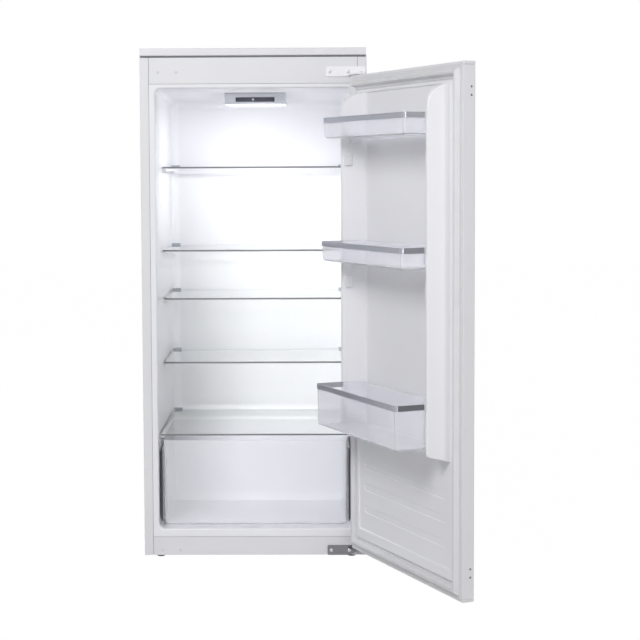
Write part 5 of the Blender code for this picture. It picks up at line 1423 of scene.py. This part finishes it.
# %% Shelves and their rear stops
GLASS_CORNER = 0.010
GLASS_ARRIS = 0.0006
BACK_ARRIS = 0.002
STOP_BLOCK = 0.022
STOP_BAR = 0.003
STOP_EASE = 0.0009
FLAT_ENOUGH = 0.9
for shelf in SHELVES:
    low, high = corners_of(shelf + "_glass")
    corners = [
        (low.x, low.y, GLASS_CORNER),
        (high.x, low.y, GLASS_CORNER),
        (high.x, high.y, BACK_ARRIS),
        (low.x, high.y, BACK_ARRIS),
    ]
    pane = cut_plate(shelf + "_pane", arcs(corners, 6), low.z, high.z, "Z")
    settle(ease(pane, GLASS_ARRIS, 1, 60))
    fit(pane, shelf, (FLOAT_GLASS, GLASS_EDGE_SHADE), (shelf + "_glass",))
    # The edge faces take the painted shade of the glass edge.
    paint(pane, lambda face: abs(face.normal.z) < FLAT_ENOUGH)
    low, high = corners_of(shelf + "_rear_stop")
    bar = block(shelf + "_stop", low, (high.x, high.y, low.z + STOP_BAR))
    for side in (-1, 1):
        near, far = sorted((side * high.x, side * (high.x - STOP_BLOCK)))
        carve(bar, block("stop", (near, low.y, low.z), (far, high.y, high.z)), "UNION")
    ease(bar, STOP_EASE)
    fit(settle(bar), shelf, STOP_GREY, (shelf + "_rear_stop",))
print("shelves:", len(SHELVES), "pane faces:", len(pane.data.polygons))

# %% [markdown]
# Guides stand between the drawer and the walls of the tub. The front of each is a dark grey
# nose, which is painted shade for the deep gap beside the drawer: seen from the front it is a
# thin dark slot with pointed ends. Behind it the guide is white, so it doesn't show through
# the drawer's clear side. The right guide stands a little closer to the drawer.

# %% Drawer guides
GUIDE_WIDTH = 0.0052
GUIDE_POINT = 0.0125
GUIDE_RAIL = 0.010
GUIDE_EASE = 0.001
GUIDE_NOSE = 0.005
CLOSER_RIGHT = 0.0016
NOSE_LAP = 0.0002
for side, name, closer in ((-1, "drawer_guide_left", 0), (1, "drawer_guide_right", CLOSER_RIGHT)):
    low, high = corners_of(name)
    close, reach = sorted((abs(low.x), abs(high.x)))
    inner = close - closer
    outer = inner + GUIDE_WIDTH + closer
    corners = [
        (inner, low.z, GUIDE_EASE),
        (outer, low.z + GUIDE_POINT, GUIDE_POINT / 2),
        (outer, high.z - GUIDE_POINT, GUIDE_POINT / 2),
        (inner, high.z, GUIDE_EASE),
    ]
    nose_end = low.y + GUIDE_NOSE
    shape = [(side * x, z) for x, z in arcs(corners)]
    slim = [(side * (inner + (x - inner) * 9 / 10 + NOSE_LAP), z) for x, z in arcs(corners)]
    guide = cut_plate(name + "_moulded", shape, low.y, nose_end, "Y")
    carve(guide, cut_plate("rear", slim, nose_end - SHEET, high.y, "Y"), "UNION")
    near, far = sorted((side * (inner + GUIDE_WIDTH / 2), side * reach))
    for share in (1 / 4, 3 / 4):
        level = low.z + share * (high.z - low.z)
        rung_low = (near, nose_end + 2 * SHEET, level - GUIDE_RAIL / 2)
        rung_high = (far, high.y - GUIDE_POINT, level + GUIDE_RAIL / 2)
        carve(guide, block("rung", rung_low, rung_high), "UNION")
    ease(guide, SHEET_EASE * 2, 2)
    # The nose is painted shade for the gap beside the drawer. The faces behind it stay white.
    fit(settle(guide), "cabinet", (GUIDE_NOSE_SHADE, WHITE_ABS), (name,))
    paint(guide, lambda face: face.center.y > nose_end + SHEET)
    print(name, "faces:", len(guide.data.polygons))

# %% [markdown]
# The control housing hangs under the ceiling. Its front carries a smoked window with the
# temperature button in it, and the lamp's frosted lens fills the underside. Its case is
# moulded with soft edges, so it starts as an outline seen from the side, is drawn across, and
# then loses its sharp edges and gains its pockets.

# %% Control housing, window and button
HOUSING_CHAMFER = 0.005
HOUSING_EASE = 0.0014
HOUSING_ROUND = 0.003
LENS_SHOWN = 0.048
WINDOW_EASE = 0.0005
BUTTON_EASE = 0.0005
case_low, case_high = corners_of("control_housing")
case_outline = [
    (case_low.y, case_low.z + HOUSING_CHAMFER, HOUSING_ROUND),
    (case_low.y + HOUSING_CHAMFER, case_low.z, HOUSING_ROUND),
    (case_high.y - HOUSING_CHAMFER, case_low.z, HOUSING_ROUND),
    (case_high.y, case_low.z + HOUSING_CHAMFER, HOUSING_ROUND),
    (case_high.y, ceiling_at(case_high.y) - FIT_GAP, SHEET),
    (case_low.y, ceiling_at(case_low.y) - FIT_GAP, SHEET),
]
case = cut_plate("control_case", arcs(case_outline, 4), case_low.x, case_high.x, "X")
baked(ease(case, HOUSING_EASE, 3, 60))
pane_low, pane_high = corners_of("control_window")
lens_low, lens_high = corners_of("lamp_lens")
lens_high.y = lens_low.y + LENS_SHOWN
margin = Vector((FIT_GAP, FIT_GAP, FIT_GAP))
carve(case, block("window_pocket", pane_low - margin - Vector((0, SHEET, 0)), pane_high + margin))
carve(case, block("lens_slot", lens_low - margin - Vector((0, 0, SHEET)), lens_high + margin))
button_low, button_high = corners_of("temperature_button")
button_at = middle_of("temperature_button")
button_radius = (button_high.x - button_low.x) / 2
bore = (button_radius + FIT_GAP, case_low.y - SHEET, button_high.y + 3 * SHEET, button_at.x, button_at.z)
carve(case, drill("case_button_bore", *bore))
fit(settle(case), "cabinet", HOUSING_GREY, ("control_housing",))

window = baked(ease(block("smoked_window_pane", pane_low, pane_high), WINDOW_EASE, 2))
carve(window, drill("pane_button_bore", *bore))
fit(settle(window), "cabinet", SMOKED_WINDOW, ("control_window",))

button_profile = [
    (button_radius, -button_high.y),
    (button_radius, -button_low.y - BUTTON_EASE),
    (button_radius - BUTTON_EASE, -button_low.y),
    (button_radius / 2, -button_low.y - BUTTON_EASE / 2),
]
button = spun("push_button", button_profile, (0, 0, 0))
upright = Matrix.Rotation(pi / 2, 4, "X")
button.data.transform(Matrix.Translation((button_at.x, 0, button_at.z)) @ upright)
fit(settle(button), "button", WHITE_ABS, ("temperature_button",))
print("housing faces:", len(case.data.polygons), "button radius:", button_radius)

# %% [markdown]
# The lens only looks lit: a lamp just below it lights the shelves. A weaker one stands in for
# the light that goes on bouncing between the white walls, up to the ceiling.

# %% Lens and the lamps inside
LENS_EASE = 0.0008
LED_DROP = 0.002
LED_POWER = 0.38
BOUNCE_DROP = 0.030
BOUNCE_BEHIND = 0.010
BOUNCE_RADIUS = 0.020
BOUNCE_POWER = 0.66
glow = ease(block("frosted_lens", lens_low, lens_high), LENS_EASE, 2)
fit(settle(glow), "cabinet", LAMP_LENS, ("lamp_lens",))
led_at = (lens_low + lens_high) / 2
led_at.z = lens_low.z - LED_DROP
led = soft_lamp("led_lamp", led_at, led_at - Vector((0, 0, 1)), (lens_high.x * 2, LENS_SHOWN), LED_POWER)
bounce = placed("bounce_lamp", bpy.data.lights.new("bounce_lamp", "POINT"))
bounce.data.energy = BOUNCE_POWER
bounce.data.shadow_soft_size = BOUNCE_RADIUS
bounce.location = led_at + Vector((0, BOUNCE_BEHIND, -BOUNCE_DROP))
for lamp in (led, bounce):
    lamp.visible_camera = False
    lamp.visible_glossy = False
print("lamps inside:", LED_POWER, "W and", BOUNCE_POWER, "W")

# %% [markdown]
# Each hinge bracket is a stamped plate that lies flat on its rail, with an arm folded out
# beside the door's corner that carries the pin. The upper one is lacquered bright white and
# the lower one is only zinc plated, as its crystals show. The plate is an outline cut from
# sheet, the arm is a second outline, and both are joined before the edges are rounded.

# %% Hinge brackets
BRACKET_PLATE = 0.003
BRACKET_ARM = 0.0036
BRACKET_ROUND = 0.003
BRACKET_EASE = 0.0005
ARM_WIDTH = 0.045
ARM_NOSE = 0.009
PIN_RADIUS = 0.0025
COLLAR_HEIGHT = 0.0032
COLLAR_GAP = 2 * FIT_GAP


def hinge_bracket(node, arm_low, row, slot, finish):
    """A bracket whose plate rises to its arm, with two screw holes and the pin's hole."""
    low, high = corners_of(node)
    bend = high.x - ARM_WIDTH
    face = high.y - BRACKET_PLATE
    corners = ((low.x, low.z), (bend, low.z), (high.x, arm_low), (high.x, high.z), (low.x, high.z))
    outline = arcs([(*corner, BRACKET_ROUND) for corner in corners])
    plate = cut_plate(node + "_stamped", outline, face, high.y, "Y")
    middle = face + BRACKET_PLATE / 2
    side = high.x - SHEET_EASE
    nose = [
        (bend, middle, 0),
        (PIVOT.x - ARM_NOSE, low.y, BRACKET_ROUND),
        (min(PIVOT.x + ARM_NOSE, side), low.y, BRACKET_ROUND),
        (side, middle, 0),
    ]
    carve(plate, cut_plate("arm", arcs(nose), arm_low, arm_low + BRACKET_ARM, "Z"), "UNION")
    for x in COLUMNS:
        carve(plate, drill("screw_hole", HOLE_RADIUS, face - SHEET, high.y + SHEET, x, row))
    reach = (arm_low - SHEET, arm_low + BRACKET_ARM + SHEET)
    carve(plate, drill("pin_hole", PIN_RADIUS + FIT_GAP, *reach, PIVOT.x, PIVOT.y, "Z"))
    ease(plate, BRACKET_EASE, 2)
    return fit(settle(plate), "cabinet", finish, (node,))


upper_arm = DOOR_TOP + COLLAR_HEIGHT + COLLAR_GAP
lower_arm = DOOR_BOTTOM - COLLAR_HEIGHT - COLLAR_GAP - BRACKET_ARM
painted = ("white_painted_steel", BRACKET_LACQUER)
plated = ("zinc_plated_steel", ZINC_PLATE)
upper = hinge_bracket("hinge_bracket_upper", upper_arm, TOP_ROW, *painted)
lower = hinge_bracket("hinge_bracket_lower", lower_arm, BOTTOM_ROW, *plated)
print("bracket faces:", len(upper.data.polygons), len(lower.data.polygons))

# %% [markdown]
# A pin with a low head goes through each arm into a bush in the door's cap. Both are turned
# pieces, so each is a profile swept round the pins' line. The bush is a tube, whose profile
# closes on itself.

# %% Hinge pins and bushes
PIN_HEAD = 0.0018
PIN_LEAD = 0.0008
BUSH_COLLAR = 0.006
BUSH_EASE = 0.0005
for level, up in (("upper", 1), ("lower", -1)):
    node = "hinge_pin_" + level
    low, high = corners_of(node)
    end = high.z if up > 0 else low.z
    head_radius = (high.x - low.x) / 2
    length = high.z - low.z
    profile = [
        (head_radius * 2 / 3, 0),
        (head_radius - PIN_LEAD / 2, PIN_LEAD / 4),
        (head_radius, PIN_LEAD),
        (head_radius, PIN_HEAD),
        (PIN_RADIUS, PIN_HEAD),
        (PIN_RADIUS, length - PIN_LEAD),
        (PIN_RADIUS - PIN_LEAD, length),
    ]
    pin = spun(node + "_turned", [(radius, end - up * run) for radius, run in profile], PIVOT)
    fit(settle(pin), "cabinet", ZINC_SCREW, (node,))

    node = "hinge_bush_" + level
    foot, top = [corner.z for corner in corners_of(node)][::up]
    under = top - up * COLLAR_HEIGHT
    bore = PIN_RADIUS + FIT_GAP
    ring = [
        (bore, foot, BUSH_EASE),
        (BUSH_RADIUS, foot, BUSH_EASE),
        (BUSH_RADIUS, under, 0),
        (BUSH_COLLAR, under, BUSH_EASE),
        (BUSH_COLLAR, top, BUSH_EASE),
        (bore, top, BUSH_EASE),
    ]
    bush = spun(node + "_turned", arcs(ring, 2), PIVOT, tube=True)
    fit(settle(bush), "door", WHITE_ABS, (node,))
print("pin faces:", len(pin.data.polygons), "bush faces:", len(bush.data.polygons))

# %% [markdown]
# Four pan-head screws with a cross recess hold the brackets. One screw is turned, two slots
# are cut across its head, and Geometry Nodes set it into the four holes.

# %% Hinge screws
SCREW_HEAD = 0.0022
SCREW_TIP = 0.002
RECESS_HALF = 0.0025
RECESS_SLOT = 0.0012
RECESS_DEPTH = 0.0013
screw_low, screw_high = corners_of("hinge_screw_top_1")
head_radius = (screw_high.x - screw_low.x) / 2
screw_length = screw_high.y - screw_low.y - SCREW_HEAD
screw_profile = [
    (SCREW_RADIUS / 3, -screw_length),
    (SCREW_RADIUS, SCREW_TIP - screw_length),
    (SCREW_RADIUS, 0),
    (head_radius, 0),
    (head_radius, SCREW_HEAD / 3),
    (head_radius * 9 / 10, SCREW_HEAD * 3 / 4),
    (head_radius * 2 / 3, SCREW_HEAD),
]
slots = []
for across, up in ((RECESS_HALF, RECESS_SLOT / 2), (RECESS_SLOT / 2, RECESS_HALF)):
    near = (-across, -SCREW_HEAD - SHEET, -up)
    slots.append(block("recess", near, (across, RECESS_DEPTH - SCREW_HEAD, up)))
kit = small_kit("screw_kit", screw_profile, ZINC_SCREW, 24, slots)
head_under = screw_low.y + SCREW_HEAD
screw_spots = [(x, head_under, row) for row in (TOP_ROW, BOTTOM_ROW) for x in COLUMNS]
screws = repeat_at("hinge_screws", screw_spots, kit)
screw_nodes = [f"hinge_screw_{rail}_{number}" for rail in ("top", "bottom") for number in (1, 2)]
fit(screws, "cabinet", ZINC_SCREW, screw_nodes)
print("screws:", len(screw_spots), "faces:", len(screws.data.polygons))

# %% [markdown]
# The back is bare engineering. A galvanised sheet closes the foam, and it is held by a row
# of rivets along each edge. The rivet is drawn once and set on points by Geometry Nodes.

# %% Rivets of the back panel
RIVET_RADIUS = 0.0035
RIVET_RISE = 0.0008
RIVET_INSET = 0.012
RIVET_ROWS = 9
RIVET_COLUMNS = 5
back_low, back_high = corners_of("back_panel")
rivet_profile = [
    (RIVET_RADIUS, -RIVET_RISE / 2),
    (RIVET_RADIUS, RIVET_RISE / 4),
    (RIVET_RADIUS * 4 / 5, RIVET_RISE * 4 / 5),
    (RIVET_RADIUS * 2 / 5, RIVET_RISE),
]
rivet_spots = []
across, tall = back_high.x - RIVET_INSET, back_high.z - back_low.z - 2 * RIVET_INSET
for row in range(RIVET_ROWS):
    level = back_low.z + RIVET_INSET + tall * row / (RIVET_ROWS - 1)
    rivet_spots += [(side * across, BACK, level) for side in (-1, 1)]
for column in range(1, RIVET_COLUMNS - 1):
    x = across * (2 * column / (RIVET_COLUMNS - 1) - 1)
    rivet_spots += [(x, BACK, back_low.z + RIVET_INSET), (x, BACK, back_high.z - RIVET_INSET)]
kit = small_kit("rivet_kit", rivet_profile, ALUMINIUM)
rivets = repeat_at("back_rivets", rivet_spots, kit, (0, 0, pi))
fit(rivets, "cabinet", ALUMINIUM)
print("rivets:", len(rivet_spots), "faces:", len(rivets.data.polygons))

# %% [markdown]
# The condenser is a steel tube bent into level runs, which the CAD node already shows. Upright
# wires are welded to both sides of it to shed the heat. They are one thin rod that Geometry
# Nodes repeat.

# %% Condenser wires
COIL_RADIUS = 0.0025
COIL_LANE = 0.030
WIRE_RADIUS = 0.0008
WIRE_PITCH = 0.0105
WIRE_OVERRUN = 0.006
coil_high = corners_of("condenser_coil")[1]
coil_y = coil_high.y - COIL_RADIUS
wire_foot = back_low.z + COIL_LANE + WIRE_OVERRUN
wire_rise = coil_high.z - COIL_RADIUS + WIRE_OVERRUN - wire_foot
wire_reach = coil_high.x - COIL_RADIUS - 2 * COIL_LANE
wire_count = int(2 * wire_reach / WIRE_PITCH) + 1
wire_spots = []
for number in range(wire_count):
    x = -wire_reach + 2 * wire_reach * number / (wire_count - 1)
    wire_spots += [(x, coil_y + side * (COIL_RADIUS + WIRE_RADIUS), wire_foot) for side in (-1, 1)]
rod = settle(spun("wire_kit", [(WIRE_RADIUS, 0), (WIRE_RADIUS, wire_rise)], (0, 0, 0), sides=8))
rod.data.materials.append(BLACK_ENAMEL)
wires = repeat_at("condenser_wires", wire_spots, rod)
fit(wires, "cabinet", BLACK_ENAMEL)
print("wires:", len(wire_spots), "faces:", len(wires.data.polygons))

# %% [markdown]
# The compressor is a welded steel pot: two deep-drawn halves with a flange where they meet.
# It is turned from a profile with wide radii. The dryer beside the coil is a copper tube that
# is necked down at both ends, and it is turned too.

# %% Compressor and dryer
POT_RADIUS = 0.072
POT_HEIGHT = 0.165
SEAM_REACH = 0.003
WAIST_SHARE = 0.45
SHOULDER_ROUND = 0.038
SEAM_ROUND = 0.001
POT_BLEND = 0.006
POT_FLAT = 0.011
DRYER_NECK = 0.012
DRYER_ROUND = 0.004


def foot_of(node):
    """The middle of a CAD node's underside."""
    at = middle_of(node)
    at.z = corners_of(node)[0].z
    return at


waist = POT_HEIGHT * WAIST_SHARE
seam = POT_RADIUS + SEAM_REACH
pot_profile = [
    (POT_FLAT, 0, 0),
    (POT_RADIUS, 0, SHOULDER_ROUND),
    (POT_RADIUS, waist - SEAM_REACH, SEAM_ROUND),
    (seam, waist - SEAM_REACH, SEAM_ROUND),
    (seam, waist + SEAM_REACH, SEAM_ROUND),
    (POT_RADIUS, waist + SEAM_REACH, SEAM_ROUND),
    (POT_RADIUS, POT_HEIGHT - POT_BLEND, SHOULDER_ROUND),
    (POT_FLAT, POT_HEIGHT, 0),
]
pot = spun("compressor_pot", arcs(pot_profile, 8), foot_of("compressor"), sides=48)
fit(settle(pot), "cabinet", BLACK_ENAMEL, ("compressor",))

dryer_low, dryer_high = corners_of("filter_dryer")
dryer_radius = (dryer_high.x - dryer_low.x) / 2
dryer_length = dryer_high.z - dryer_low.z
dryer_profile = [
    (COIL_RADIUS, 0, 0),
    (COIL_RADIUS, DRYER_NECK / 3, DRYER_ROUND / 2),
    (dryer_radius, DRYER_NECK, DRYER_ROUND),
    (dryer_radius, dryer_length - DRYER_NECK, DRYER_ROUND),
    (COIL_RADIUS, dryer_length - DRYER_NECK / 3, DRYER_ROUND / 2),
    (COIL_RADIUS, dryer_length, 0),
]
dryer = spun("necked_dryer", arcs(dryer_profile), foot_of("filter_dryer"))
fit(settle(dryer), "cabinet", COPPER, ("filter_dryer",))
print("compressor faces:", len(pot.data.polygons), "dryer faces:", len(dryer.data.polygons))

# %% [markdown]
# A tray for melt water sits on the compressor's warm top, moulded like a shallow drawer. The
# terminal box beside the pot is a moulded cover with soft edges and a hole where the cord
# goes in.

# %% Drip tray and terminal box
TRAY_WALL = 0.0016
TRAY_CORNER = 0.012
TRAY_KEEL = 0.006
BOX_EASE = 0.0035
INLET_RADIUS = 0.004
INLET_DEPTH = 0.020
low, high = corners_of("drip_tray")
rings = []
for level, inset in tub_levels(low.z, high.z, TRAY_WALL, TRAY_KEEL, 4, round_rim=False):
    corner = max(TRAY_CORNER - inset, TRAY_WALL)
    outline = rounded(low.x + inset, low.y + inset, high.x - inset, high.y - inset, corner)
    rings.append([(x, y, level) for x, y in outline])
tray = lofted("melt_water_tray", rings)
fit(settle(tray), "cabinet", BLACK_NYLON, ("drip_tray",))

low, high = corners_of("terminal_box")
cover = baked(ease(block("terminal_cover", low, high), BOX_EASE))
inlet_at = (middle_of("terminal_box").y, low.z + 2 * INLET_RADIUS + BOX_EASE)
carve(cover, drill("cord_inlet", INLET_RADIUS, low.x - SHEET, low.x + INLET_DEPTH, *inlet_at, "X"))
fit(settle(cover), "cabinet", BLACK_NYLON, ("terminal_box",))
print("tray faces:", len(tray.data.polygons), "box faces:", len(cover.data.polygons))

# %% [markdown]
# The feet are black nylon discs. The front pair turns on a threaded stem for levelling, so
# its rim has grips for the fingers. The rear pair only stands under the crossbar.

# %% Feet
FOOT_PAD = 0.008
FOOT_ROUND_TOP = 0.0015
FOOT_SLIP = 0.0022
STEM_RADIUS = 0.004
GRIP_COUNT = 12
GRIP_RADIUS = 0.0011
FOOT_BODIES = {"foot_front_left": "front_foot_left", "foot_front_right": "front_foot_right"}
for node in (*FOOT_BODIES, "foot_rear_left", "foot_rear_right"):
    low, high = corners_of(node)
    radius = (high.x - low.x) / 2
    outline = [
        (radius - FOOT_SLIP, 0, FOOT_ROUND_TOP / 3),
        (radius, FOOT_SLIP, FOOT_ROUND_TOP),
        (radius, FOOT_PAD, FOOT_ROUND_TOP),
    ]
    if node in FOOT_BODIES:
        outline += [(STEM_RADIUS, FOOT_PAD, 0), (STEM_RADIUS, high.z - low.z, FOOT_ROUND_TOP)]
    outline = [(GRIP_RADIUS, 0, 0)] + outline + [(GRIP_RADIUS, outline[-1][1], 0)]
    foot = spun(node + "_disc", arcs(outline, 3), foot_of(node))
    for grip in range(GRIP_COUNT if node in FOOT_BODIES else 0):
        angle = 2 * pi * grip / GRIP_COUNT
        at = foot_of(node) + Vector((cos(angle), sin(angle), 0)) * radius
        reach = (low.z + FOOT_SLIP, low.z + 2 * FOOT_PAD)
        carve(foot, drill("grip", GRIP_RADIUS, *reach, at.x, at.y, "Z", 8))
    fit(settle(foot), FOOT_BODIES.get(node, "cabinet"), BLACK_NYLON, (node,))
    print(node, "faces:", len(foot.data.polygons))
